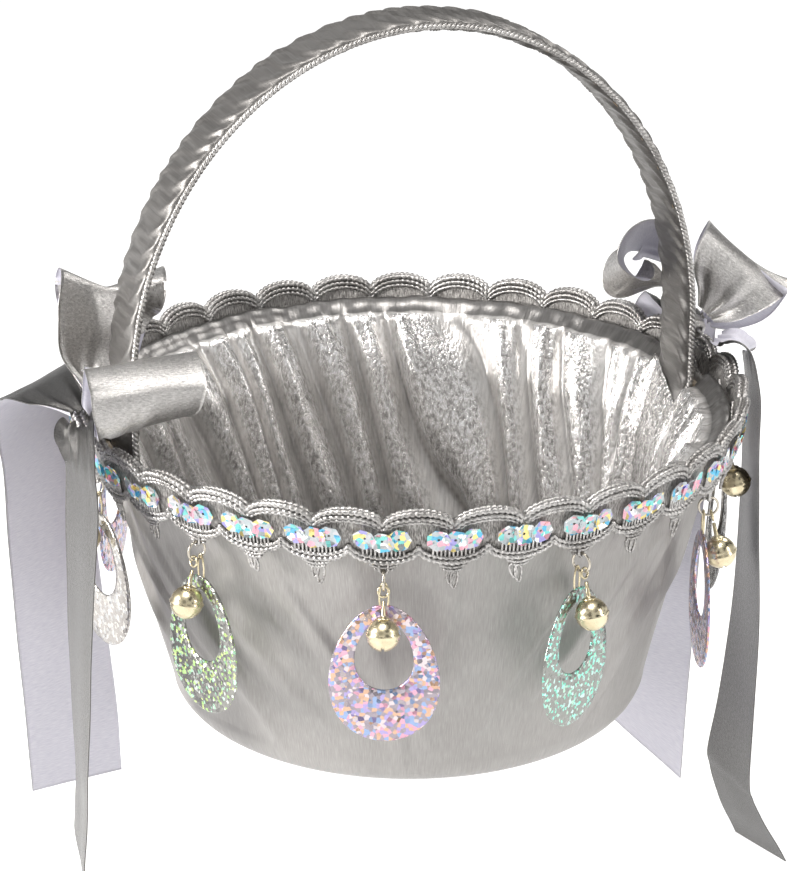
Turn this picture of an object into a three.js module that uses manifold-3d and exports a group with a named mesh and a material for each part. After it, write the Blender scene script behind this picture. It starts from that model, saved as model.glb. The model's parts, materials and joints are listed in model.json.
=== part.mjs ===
// Flower girl basket: a round flared basket covered in silver lame, with a gathered lining,
// an arched carrying handle wrapped in the same cloth, a scalloped gimp braid with sequins
// round the rim, hanging trims (jump ring, jingle bell, oval drop) and two ribbon bows.
// Millimetres, +Z up, origin at the centre of the base's underside.

import * as THREE from "three";
import { mergeVertices } from "three/addons/utils/BufferGeometryUtils.js";
import Module from "manifold-3d";

const wasm = await Module();
wasm.setup();

// ---------------------------------------------------------------- driving dimensions

const GAP = 0.35; // between pieces that touch on the real object
const LATHE_SEGMENTS = 32;

// basket wall, outer surface
const CORNER_RADIUS = 12; // round between base and wall
const FLOOR_RADIUS = 73; // flat part of the base
const WALL_BEND_Z = 84.4; // where the wall starts to flare more
const WALL_BEND_RADIUS = 102.3;
const RIM_Z = 106;
const RIM_RADIUS = 112;

// layers of the wall, from the outside in
const COVER_THICKNESS = 0.8;
const BATTING_THICKNESS = 1.2;
const SHELL_THICKNESS = 2;
const LINING_THICKNESS = 6;
const FLOOR_PAD_HEIGHT = 5.4;

// handle: a flat strip bent into an arch, turned about Z from the X axis
const HANDLE_TURN = THREE.MathUtils.degToRad(22);
const HANDLE_HALF_SPAN = 104;
const HANDLE_SPRING_Z = 130; // the legs are straight below this height
const HANDLE_RISE = 116;
const HANDLE_WIDTH = 21.6;
const HANDLE_THICKNESS = 3.4;
const CORE_WIDTH = 20;
const CORE_THICKNESS = 2;
const WRAP_WALL = 0.35;
const LEG_END_Z = 38;
const WRAP_END_Z = 80;
const PIPING_END_Z = 100;
const PIPING_RADIUS = 1.1;
const LEG_TO_SHELL = 3.2; // from the strip's middle to the shell's inner face
const RIVET_HEIGHTS = [48, 66];
const RIVET_RADIUS = 1.2;
const RIVET_HEAD_RADIUS = 2.4;
const RIVET_HOLE_RADIUS = 1.6;

// gimp braid round the rim
const SCALLOPS = 32;
const BRAID_TURN = THREE.MathUtils.degToRad(-4.3); // middle of the first scallop, from the front
const BRAID_LEAN = 0.2126; // how far it leans out for each millimetre of height
const BRAID_MIDDLE_Z = 106;
const BRAID_MIDDLE_RADIUS = 114.4;
const BRAID_THICKNESS = 3.4;
const BRAID_COLUMNS = 4; // columns of facets in one scallop
const ARCH_TOP_Z = 116.8;
const ARCH_VALLEY_Z = 111;
const CUP_BOTTOM_Z = 96.4;
const CUP_SHOULDER_Z = 101.5;
const SEQUIN_COLUMNS = 3;
const SEQUIN_Z = 107;
const SEQUIN_HALF_HEIGHT = 3;
const SEQUIN_THREAD_HALF_HEIGHT = 0.8;
const SEQUIN_THICKNESS = 0.8;

// hanging trims, one under every third scallop; the braid's ends meet at the back
const SCALLOPS_PER_TRIM = 3;
const FIRST_TRIM = -4;
const LAST_TRIM = 5;
const TRIM_YAW_DEGREES = [-10, 4, 17, -12, 2, 23, 32, -24, 9, -8]; // how far each one is turned
const PIVOT_Z = 92.7; // lowest point of the thread loop that holds the jump ring
const PIVOT_OUTWARD = 0.8; // from the middle of the braid's thickness
const THREAD_LOOP_RADIUS = 2.1;
const THREAD_RADIUS = 0.55;
const RING_RADIUS = 3.3;
const WIRE_RADIUS = 0.45;
const LINK_GAP = 0.5; // between the jump ring's wire and what hangs on it
const BELL_RADIUS = 5.5;
const BELL_WALL = 0.55;
const BELL_DROP = 14.5; // from the jump ring's wire to the bell's centre
const BELL_LEAN = THREE.MathUtils.degToRad(13.4);
const BELL_ANGLE = THREE.MathUtils.degToRad(22); // where the bell sits on the ring
const EYE_RADIUS = 1.75;
const EYE_WIRE_RADIUS = 0.4;
const BELL_SLOT_WIDTH = 1.2;
const DROP_WIDTH = 36;
const DROP_HEIGHT = 49;
const DROP_THICKNESS = 0.8;
const DROP_LEAN = THREE.MathUtils.degToRad(0.5);
const DROP_ANGLE = THREE.MathUtils.degToRad(-28);
const DROP_HOLE_WIDTH = 19;
const DROP_HOLE_HEIGHT = 25;
const DROP_HOLE_TOP = 5.4; // from the drop's top edge to the big hole
const BAIL_LENGTH = 6.5; // from the jump ring's wire to the drop's top edge
const BAIL_WIRE_RADIUS = 0.35;
const BAIL_HALF_WIDTH = 1.5;

// ribbon
const RIBBON_THICKNESS = 0.8;
const RIBBON_BACK_SIDE = 2; // the side of a ribbon's outline that lies opposite its face
const RIBBON_STEPS = 2; // facets between two key frames

// ---------------------------------------------------------------- materials

const LAME = { color: 0x9a9894, roughness: 0.34, metalness: 0.75 };
const LINING_LAME = { color: 0xa9a7a3, roughness: 0.3, metalness: 0.8 };
const RIBBON_LAME = { color: 0x8f8c85, roughness: 0.36, metalness: 0.8 };
const GIMP = { color: 0x8d8780, roughness: 0.35, metalness: 0.8 };
const SEQUIN = { color: 0x9fc4d8, roughness: 0.15, metalness: 0.5 };
const BRASS = { color: 0xb79f6e, roughness: 0.25, metalness: 1 };
const RING_STEEL = { color: 0x9a9284, roughness: 0.25, metalness: 1 };
const HOLOGRAM = { color: 0xc9a7c6, roughness: 0.2, metalness: 0.6 };
const PULP = { color: 0xb9a88a, roughness: 0.9, metalness: 0 };
const FOAM = { color: 0xe8e6e0, roughness: 0.95, metalness: 0 };
const CANE = { color: 0xc8a878, roughness: 0.6, metalness: 0 };

const basket = new THREE.Group();

function addMesh(name, geometry, look) {
  const mesh = new THREE.Mesh(geometry, new THREE.MeshStandardMaterial(look));
  mesh.name = name;
  basket.add(mesh);
  return mesh;
}

// ---------------------------------------------------------------- mesh helpers

function signedVolume(geometry) {
  const position = geometry.getAttribute("position");
  const index = geometry.getIndex();
  const corners = [new THREE.Vector3(), new THREE.Vector3(), new THREE.Vector3()];
  let volume = 0;
  for (let i = 0; i < index.count; i += 3) {
    corners.forEach((corner, k) => corner.fromBufferAttribute(position, index.getX(i + k)));
    volume += corners[0].dot(corners[1].clone().cross(corners[2])) / 6;
  }
  return volume;
}

// One welded, closed mesh with its faces pointing out.
function closedMesh(geometry) {
  const bare = geometry.clone();
  bare.deleteAttribute("normal");
  bare.deleteAttribute("uv");
  const welded = mergeVertices(bare, 1e-4);
  const source = welded.getIndex();
  const kept = [];
  for (let i = 0; i < source.count; i += 3) {
    const [a, b, c] = [source.getX(i), source.getX(i + 1), source.getX(i + 2)];
    if (a !== b && b !== c && a !== c) kept.push(a, b, c);
  }
  welded.setIndex(kept);
  if (signedVolume(welded) < 0) {
    for (let i = 0; i < kept.length; i += 3) [kept[i], kept[i + 1]] = [kept[i + 1], kept[i]];
    welded.setIndex(kept);
  }
  return welded;
}

// A solid through a row of outlines that all have the same number of points.
// The quads along side mirroredSide of the outlines are split along their other diagonal.
function loft(outlines, closed = false, mirroredSide = -1) {
  const count = outlines[0].length;
  const positions = outlines.flat().flatMap((point) => point.toArray());
  const index = [];
  const spans = closed ? outlines.length : outlines.length - 1;
  for (let i = 0; i < spans; i += 1) {
    const near = i * count;
    const far = ((i + 1) % outlines.length) * count;
    for (let j = 0; j < count; j += 1) {
      const k = (j + 1) % count;
      if (j === mirroredSide) {
        index.push(near + j, near + k, far + j, near + k, far + k, far + j);
      } else {
        index.push(near + j, near + k, far + k, near + j, far + k, far + j);
      }
    }
  }
  if (!closed) {
    const end = (outlines.length - 1) * count;
    for (let j = 1; j < count - 1; j += 1) {
      index.push(0, j + 1, j, end, end + j, end + j + 1);
    }
  }
  const geometry = new THREE.BufferGeometry();
  geometry.setAttribute("position", new THREE.Float32BufferAttribute(positions, 3));
  geometry.setIndex(index);
  return closedMesh(geometry);
}

function lathe(profile, segments = LATHE_SEGMENTS) {
  const points = profile.map(([radius, z]) => new THREE.Vector2(radius, z));
  const geometry = new THREE.LatheGeometry(points, segments);
  geometry.rotateX(Math.PI / 2);
  return closedMesh(geometry);
}

function toSolid(geometry) {
  const mesh = closedMesh(geometry);
  return new wasm.Manifold(
    new wasm.Mesh({
      numProp: 3,
      vertProperties: new Float32Array(mesh.getAttribute("position").array),
      triVerts: new Uint32Array(mesh.getIndex().array),
    }),
  );
}

function toGeometry(solid) {
  const mesh = solid.getMesh();
  const geometry = new THREE.BufferGeometry();
  geometry.setAttribute("position", new THREE.Float32BufferAttribute(mesh.vertProperties, 3));
  geometry.setIndex(Array.from(mesh.triVerts));
  return geometry;
}

// ---------------------------------------------------------------- basket wall

// Outer radius of the covered wall at height z, above the round corner.
function wallRadius(z) {
  const low = FLOOR_RADIUS + CORNER_RADIUS;
  if (z <= WALL_BEND_Z) {
    return low + ((WALL_BEND_RADIUS - low) * (z - CORNER_RADIUS)) / (WALL_BEND_Z - CORNER_RADIUS);
  }
  const share = (z - WALL_BEND_Z) / (RIM_Z - WALL_BEND_Z);
  return WALL_BEND_RADIUS + (RIM_RADIUS - WALL_BEND_RADIUS) * share;
}

// The wall's line moved in by inset, from the middle of the base up to topZ.
function wallLine(inset, topZ) {
  const bend = CORNER_RADIUS - inset;
  const points = [];
  for (let step = 0; step <= 3; step += 1) {
    const angle = (step * Math.PI) / 6;
    points.push([FLOOR_RADIUS + bend * Math.sin(angle), CORNER_RADIUS - bend * Math.cos(angle)]);
  }
  points.push([WALL_BEND_RADIUS - inset, WALL_BEND_Z]);
  points.push([wallRadius(topZ) - inset, topZ]);
  return points;
}

const COVER_INSET = 0;
const BATTING_INSET = COVER_INSET + COVER_THICKNESS + GAP;
const SHELL_INSET = BATTING_INSET + BATTING_THICKNESS + GAP;
const SHELL_INNER_INSET = SHELL_INSET + SHELL_THICKNESS;
const LINING_INSET = SHELL_INNER_INSET + GAP;
const LINING_INNER_INSET = LINING_INSET + LINING_THICKNESS;
const BASE_COVER_RADIUS = 70;
const BASE_COVER_THICKNESS = 1;
const BASE_BOARD_THICKNESS = 1;

function closedRing(outerLine, innerLine) {
  const profile = [...outerLine, ...innerLine.slice().reverse()];
  return [...profile, profile[0]];
}

function makeCover() {
  const turnIn = BASE_COVER_RADIUS + GAP;
  const outer = [[turnIn, COVER_INSET], ...wallLine(COVER_INSET, RIM_Z)];
  const inner = [[turnIn, COVER_THICKNESS], ...wallLine(COVER_THICKNESS, RIM_Z)];
  return lathe(closedRing(outer, inner));
}

function makeBatting() {
  const levels = [16, WALL_BEND_Z, 98];
  const line = (inset) => levels.map((z) => [wallRadius(z) - inset, z]);
  return lathe(closedRing(line(BATTING_INSET), line(BATTING_INSET + BATTING_THICKNESS)));
}

function makeShell() {
  const top = RIM_Z - 1.5;
  const outer = [[0, SHELL_INSET], ...wallLine(SHELL_INSET, top)];
  const inner = [[0, SHELL_INNER_INSET], ...wallLine(SHELL_INNER_INSET, top)];
  return lathe([...outer, ...inner.reverse()]);
}

function makeLining() {
  const top = RIM_Z - 0.5;
  return lathe(closedRing(wallLine(LINING_INSET, top), wallLine(LINING_INNER_INSET, top)));
}

function makeDisc(radius, lowZ, thickness, edgeRound) {
  const highZ = lowZ + thickness;
  return lathe([
    [0, lowZ],
    [radius, lowZ],
    [radius, highZ - edgeRound],
    [radius - edgeRound * 1.6, highZ],
    [0, highZ],
  ]);
}

// ---------------------------------------------------------------- handle

const ALONG = new THREE.Vector3(Math.cos(HANDLE_TURN), Math.sin(HANDLE_TURN), 0);
const ACROSS = new THREE.Vector3(Math.sin(HANDLE_TURN), -Math.cos(HANDLE_TURN), 0);
const UP = new THREE.Vector3(0, 0, 1);

function shellInnerRadius(z) {
  return wallRadius(z) - SHELL_INNER_INSET;
}

function legOffset(z) {
  return Math.min(HANDLE_HALF_SPAN, shellInnerRadius(z) - LEG_TO_SHELL);
}

// Stations on the strip's middle line, [offset along ALONG, height, normal offset, normal height].
function handleStations(endZ, arcSteps = 22) {
  const leg = [LEG_END_Z, 60, WRAP_END_Z, WALL_BEND_Z, 92, PIPING_END_Z, 106, 114, 122]
    .filter((z) => z >= endZ)
    .map((z) => [legOffset(z), z]);
  const arc = [];
  for (let step = 0; step <= arcSteps; step += 1) {
    const angle = (step * Math.PI) / arcSteps;
    const offset = HANDLE_HALF_SPAN * Math.cos(angle);
    arc.push([offset, HANDLE_SPRING_Z + HANDLE_RISE * Math.sin(angle)]);
  }
  const farLeg = leg.map(([offset, z]) => [-offset, z]).reverse();
  const line = [...leg, ...arc, ...farLeg];
  return line.map(([offset, z], i) => {
    const [offsetBefore, zBefore] = line[Math.max(i - 1, 0)];
    const [offsetAfter, zAfter] = line[Math.min(i + 1, line.length - 1)];
    const tangent = new THREE.Vector2(offsetAfter - offsetBefore, zAfter - zBefore).normalize();
    return { offset, z, normal: new THREE.Vector2(tangent.y, -tangent.x) };
  });
}

// A point at outward and sideways distances from a station's middle.
function handlePoint(station, outward, sideways) {
  return ALONG.clone()
    .multiplyScalar(station.offset + station.normal.x * outward)
    .addScaledVector(UP, station.z + station.normal.y * outward)
    .addScaledVector(ACROSS, sideways);
}

function stripOutline(station, width, thickness) {
  return [
    handlePoint(station, thickness / 2, width / 2),
    handlePoint(station, thickness / 2, -width / 2),
    handlePoint(station, -thickness / 2, -width / 2),
    handlePoint(station, -thickness / 2, width / 2),
  ];
}

function makeCore() {
  const stations = handleStations(LEG_END_Z);
  return loft(stations.map((station) => stripOutline(station, CORE_WIDTH, CORE_THICKNESS)));
}

// The cloth sleeve: an outer and an inner skin joined at both open ends.
function makeWrap() {
  const stations = handleStations(WRAP_END_Z);
  const outer = stations.map((s) => stripOutline(s, HANDLE_WIDTH, HANDLE_THICKNESS));
  const innerWidth = HANDLE_WIDTH - 2 * WRAP_WALL;
  const innerThickness = HANDLE_THICKNESS - 2 * WRAP_WALL;
  const inner = stations.map((s) => stripOutline(s, innerWidth, innerThickness));
  return loft([...outer, ...inner.reverse()], true);
}

function makePiping() {
  const sides = 6;
  const sideways = HANDLE_WIDTH / 2 + GAP + PIPING_RADIUS;
  const outlines = handleStations(PIPING_END_Z).map((station) => {
    const outline = [];
    for (let k = 0; k < sides; k += 1) {
      const angle = (k * 2 * Math.PI) / sides;
      outline.push(
        handlePoint(
          station,
          PIPING_RADIUS * Math.cos(angle),
          sideways + PIPING_RADIUS * Math.sin(angle),
        ),
      );
    }
    return outline;
  });
  return loft(outlines);
}

// Room in the lining for one leg: a pocket behind it, open to the inside above pocketTopZ.
function legCutter(side) {
  const pocketTopZ = 86;
  const halfWidth = HANDLE_WIDTH / 2 + 0.6;
  const notchHalfWidth = HANDLE_WIDTH / 2 + 3.2;
  const behind = 2.6;
  const outline = (z, inner, half) => {
    const offsets = [legOffset(z) + 12, inner];
    const corner = (offset, sideways) =>
      ALONG.clone()
        .multiplyScalar(side * offset)
        .addScaledVector(ACROSS, sideways)
        .addScaledVector(UP, z);
    return [
      corner(offsets[0], half),
      corner(offsets[0], -half),
      corner(offsets[1], -half),
      corner(offsets[1], half),
    ];
  };
  const pocket = [LEG_END_Z - 2, 60, WALL_BEND_Z, pocketTopZ + 1].map((z) =>
    outline(z, legOffset(z) - behind, halfWidth),
  );
  const notch = [pocketTopZ, 120].map((z) => outline(z, legOffset(z) - 25, notchHalfWidth));
  return toSolid(loft(pocket)).add(toSolid(loft(notch)));
}

// The rivets stand square to the wall below its bend.
const WALL_TILT = Math.atan(
  (WALL_BEND_RADIUS - FLOOR_RADIUS - CORNER_RADIUS) / (WALL_BEND_Z - CORNER_RADIUS),
);

function placeOnLeg(geometry, side, z) {
  const outward = ALONG.clone()
    .multiplyScalar(side * Math.cos(WALL_TILT))
    .addScaledVector(UP, -Math.sin(WALL_TILT));
  const turn = new THREE.Quaternion().setFromUnitVectors(UP, outward);
  geometry.applyQuaternion(turn);
  const middle = ALONG.clone().multiplyScalar(side * legOffset(z)).addScaledVector(UP, z);
  return geometry.translate(middle.x, middle.y, middle.z);
}

function rivetCutter(side, z, radius) {
  const cylinder = new THREE.CylinderGeometry(radius, radius, 24, 8).rotateX(Math.PI / 2);
  return toSolid(placeOnLeg(cylinder, side, z));
}

function makeRivet(side, z) {
  const innerFace = -CORE_THICKNESS / 2 - GAP;
  const outerFace = (LEG_TO_SHELL + SHELL_THICKNESS) * Math.cos(WALL_TILT) + GAP;
  const head = 0.7;
  const profile = [
    [0, innerFace - head],
    [RIVET_HEAD_RADIUS, innerFace - head],
    [RIVET_HEAD_RADIUS, innerFace],
    [RIVET_RADIUS, innerFace],
    [RIVET_RADIUS, outerFace],
    [RIVET_HEAD_RADIUS, outerFace],
    [RIVET_HEAD_RADIUS, outerFace + head],
    [0, outerFace + head],
  ];
  return placeOnLeg(lathe(profile, 8), side, z);
}

// ---------------------------------------------------------------- gimp braid and sequins

function braidPoint(angle, z, outward) {
  const lean = Math.hypot(1, BRAID_LEAN);
  const radius =
    BRAID_MIDDLE_RADIUS + BRAID_LEAN * (z - BRAID_MIDDLE_Z) + outward / lean;
  const height = z - (outward * BRAID_LEAN) / lean;
  return new THREE.Vector3(radius * Math.sin(angle), -radius * Math.cos(angle), height);
}

// A wavy band: share runs from 0 in the middle of a scallop to 1 between two scallops.
function wavyBand(columns, lowZ, highZ, innerFace, outerFace) {
  const outlines = [];
  for (let i = 0; i < SCALLOPS * columns; i += 1) {
    const place = i / columns;
    const angle = BRAID_TURN + (place * 2 * Math.PI) / SCALLOPS;
    const share = 2 * Math.abs(place - Math.round(place));
    outlines.push([
      braidPoint(angle, lowZ(share), outerFace),
      braidPoint(angle, highZ(share), outerFace),
      braidPoint(angle, highZ(share), innerFace),
      braidPoint(angle, lowZ(share), innerFace),
    ]);
  }
  return loft(outlines, true);
}

function circleArc(share) {
  return Math.sqrt(Math.max(0, 1 - share * share));
}

function makeBraid() {
  const low = (share) => CUP_SHOULDER_Z + (CUP_BOTTOM_Z - CUP_SHOULDER_Z) * circleArc(share);
  const high = (share) => ARCH_VALLEY_Z + (ARCH_TOP_Z - ARCH_VALLEY_Z) * circleArc(1 - share);
  const face = BRAID_THICKNESS / 2;
  let braid = toSolid(wavyBand(BRAID_COLUMNS, low, high, -face, face));
  for (const frame of trimFrames()) {
    const loop = ringGeometry(THREAD_LOOP_RADIUS, THREAD_RADIUS, 8, 4);
    loop.rotateX(Math.PI / 2).translate(0, 0, THREAD_LOOP_RADIUS);
    braid = braid.add(toSolid(loop.applyMatrix4(frame)));
  }
  return toGeometry(braid);
}

function makeSequinRow() {
  const half = (share) =>
    SEQUIN_THREAD_HALF_HEIGHT +
    (SEQUIN_HALF_HEIGHT - SEQUIN_THREAD_HALF_HEIGHT) * circleArc(Math.min(1, share * 1.15));
  const face = BRAID_THICKNESS / 2 + GAP;
  return wavyBand(
    SEQUIN_COLUMNS,
    (share) => SEQUIN_Z - half(share),
    (share) => SEQUIN_Z + half(share),
    face,
    face + SEQUIN_THICKNESS,
  );
}

// ---------------------------------------------------------------- hanging trims

// Each trim has its own frame: X sideways, Y away from the basket, Z up, and its origin on
// the thread loop that the jump ring hangs from.
function trimFrames() {
  const frames = [];
  for (let k = FIRST_TRIM; k <= LAST_TRIM; k += 1) {
    const angle = BRAID_TURN + (k * SCALLOPS_PER_TRIM * 2 * Math.PI) / SCALLOPS;
    const pivot = braidPoint(angle, CUP_BOTTOM_Z, PIVOT_OUTWARD).setZ(PIVOT_Z);
    const yaw = THREE.MathUtils.degToRad(TRIM_YAW_DEGREES[k - FIRST_TRIM]);
    const frame = new THREE.Matrix4().makeRotationZ(angle + yaw + Math.PI);
    frames.push(frame.setPosition(pivot));
  }
  return frames;
}

// A closed wire ring about the Z axis.
function ringGeometry(radius, wire, steps, sides) {
  const outlines = [];
  for (let i = 0; i < steps; i += 1) {
    const angle = (i * 2 * Math.PI) / steps;
    const outline = [];
    for (let j = 0; j < sides; j += 1) {
      const turn = ((j + 0.5) * 2 * Math.PI) / sides;
      const distance = radius + wire * Math.cos(turn);
      outline.push(
        new THREE.Vector3(
          distance * Math.cos(angle),
          distance * Math.sin(angle),
          wire * Math.sin(turn),
        ),
      );
    }
    outlines.push(outline);
  }
  return loft(outlines, true);
}

// A point on the jump ring's wire, at an angle from its lowest point towards +Y.
const RING_CENTRE_Z = THREAD_RADIUS + WIRE_RADIUS + 0.3 - RING_RADIUS;

function wirePoint(angle) {
  return new THREE.Vector3(
    0,
    RING_RADIUS * Math.sin(angle),
    RING_CENTRE_Z - RING_RADIUS * Math.cos(angle),
  );
}

function makeJumpRing() {
  const ring = ringGeometry(RING_RADIUS, WIRE_RADIUS, 10, 4);
  return ring.rotateY(Math.PI / 2).translate(0, 0, RING_CENTRE_Z);
}

// The bell hangs along -Z from the wire, then leans out so that it clears the drop.
function makeBell() {
  const eyeDrop = EYE_RADIUS - (EYE_WIRE_RADIUS + WIRE_RADIUS + LINK_GAP);
  const outer = new THREE.SphereGeometry(BELL_RADIUS, 9, 5).rotateX(Math.PI / 2);
  const cavity = new THREE.SphereGeometry(BELL_RADIUS - BELL_WALL, 6, 4).rotateX(Math.PI / 2);
  const slot = new THREE.BoxGeometry(BELL_RADIUS * 1.5, BELL_SLOT_WIDTH, 3);
  const stemTop = BELL_DROP - eyeDrop - EYE_RADIUS + 0.1;
  const stemLow = BELL_RADIUS - 0.3;
  const stem = new THREE.CylinderGeometry(0.6, 0.9, stemTop - stemLow, 6).rotateX(Math.PI / 2);
  const eye = ringGeometry(EYE_RADIUS, EYE_WIRE_RADIUS, 8, 3).rotateX(Math.PI / 2);
  const body = toSolid(outer)
    .subtract(toSolid(cavity))
    .subtract(toSolid(slot.translate(0, 0, -BELL_RADIUS + 0.4)))
    .add(toSolid(stem.translate(0, 0, (stemTop + stemLow) / 2)))
    .add(toSolid(eye.translate(0, 0, BELL_DROP - eyeDrop)));
  const wire = wirePoint(BELL_ANGLE);
  return toGeometry(body)
    .translate(0, 0, -BELL_DROP)
    .rotateX(BELL_LEAN)
    .translate(wire.x, wire.y, wire.z);
}

// An egg outline, wider below, with its highest point at topZ.
function eggPath(PathClass, width, height, topZ, steps) {
  const fullness = 0.16;
  const path = new PathClass();
  for (let i = 0; i < steps; i += 1) {
    const angle = (i * 2 * Math.PI) / steps;
    const x = (-width / 2) * Math.sin(angle) * (1 - fullness * Math.cos(angle));
    const z = topZ - (height / 2) * (1 - Math.cos(angle));
    if (i === 0) path.moveTo(x, z);
    else path.lineTo(x, z);
  }
  path.closePath();
  return path;
}

// A flat oval with an egg-shaped hole, and the wire bail that it hangs from.
function makeDrop() {
  const outline = eggPath(THREE.Shape, DROP_WIDTH, DROP_HEIGHT, -BAIL_LENGTH, 16);
  const holeTop = -BAIL_LENGTH - DROP_HOLE_TOP;
  outline.holes.push(eggPath(THREE.Path, DROP_HOLE_WIDTH, DROP_HOLE_HEIGHT, holeTop, 12));
  const plate = new THREE.ExtrudeGeometry(outline, { depth: DROP_THICKNESS, bevelEnabled: false });
  plate.translate(0, 0, -DROP_THICKNESS / 2).rotateX(Math.PI / 2);

  const bailTop = WIRE_RADIUS + BAIL_WIRE_RADIUS + LINK_GAP + 0.2;
  const bailLow = -BAIL_LENGTH - 2.4;
  const bail = ringGeometry(1, BAIL_WIRE_RADIUS, 10, 3).rotateX(Math.PI / 2);
  const bailHalf = (bailTop - bailLow) / 2;
  const points = bail.getAttribute("position");
  for (let i = 0; i < points.count; i += 1) {
    const x = points.getX(i);
    const z = points.getZ(i);
    const length = Math.hypot(x, z);
    points.setX(i, x + (BAIL_HALF_WIDTH - 1) * (x / length));
    points.setZ(i, z + (bailHalf - 1) * (z / length) + (bailTop + bailLow) / 2);
  }
  const wire = wirePoint(DROP_ANGLE);
  return toGeometry(toSolid(plate).add(toSolid(bail)))
    .rotateX(-DROP_LEAN)
    .translate(wire.x, wire.y, wire.z);
}

function addTrims() {
  const ring = makeJumpRing();
  const bell = makeBell();
  const drop = makeDrop();
  trimFrames().forEach((frame, i) => {
    const pieces = [
      [`jump_ring_${i + 1}`, ring, RING_STEEL],
      [`bell_${i + 1}`, bell, BRASS],
      [`drop_${i + 1}`, drop, HOLOGRAM],
    ];
    for (const [name, geometry, look] of pieces) {
      addMesh(name, geometry, look).applyMatrix4(frame);
    }
  });
}

// ---------------------------------------------------------------- bows

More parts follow.
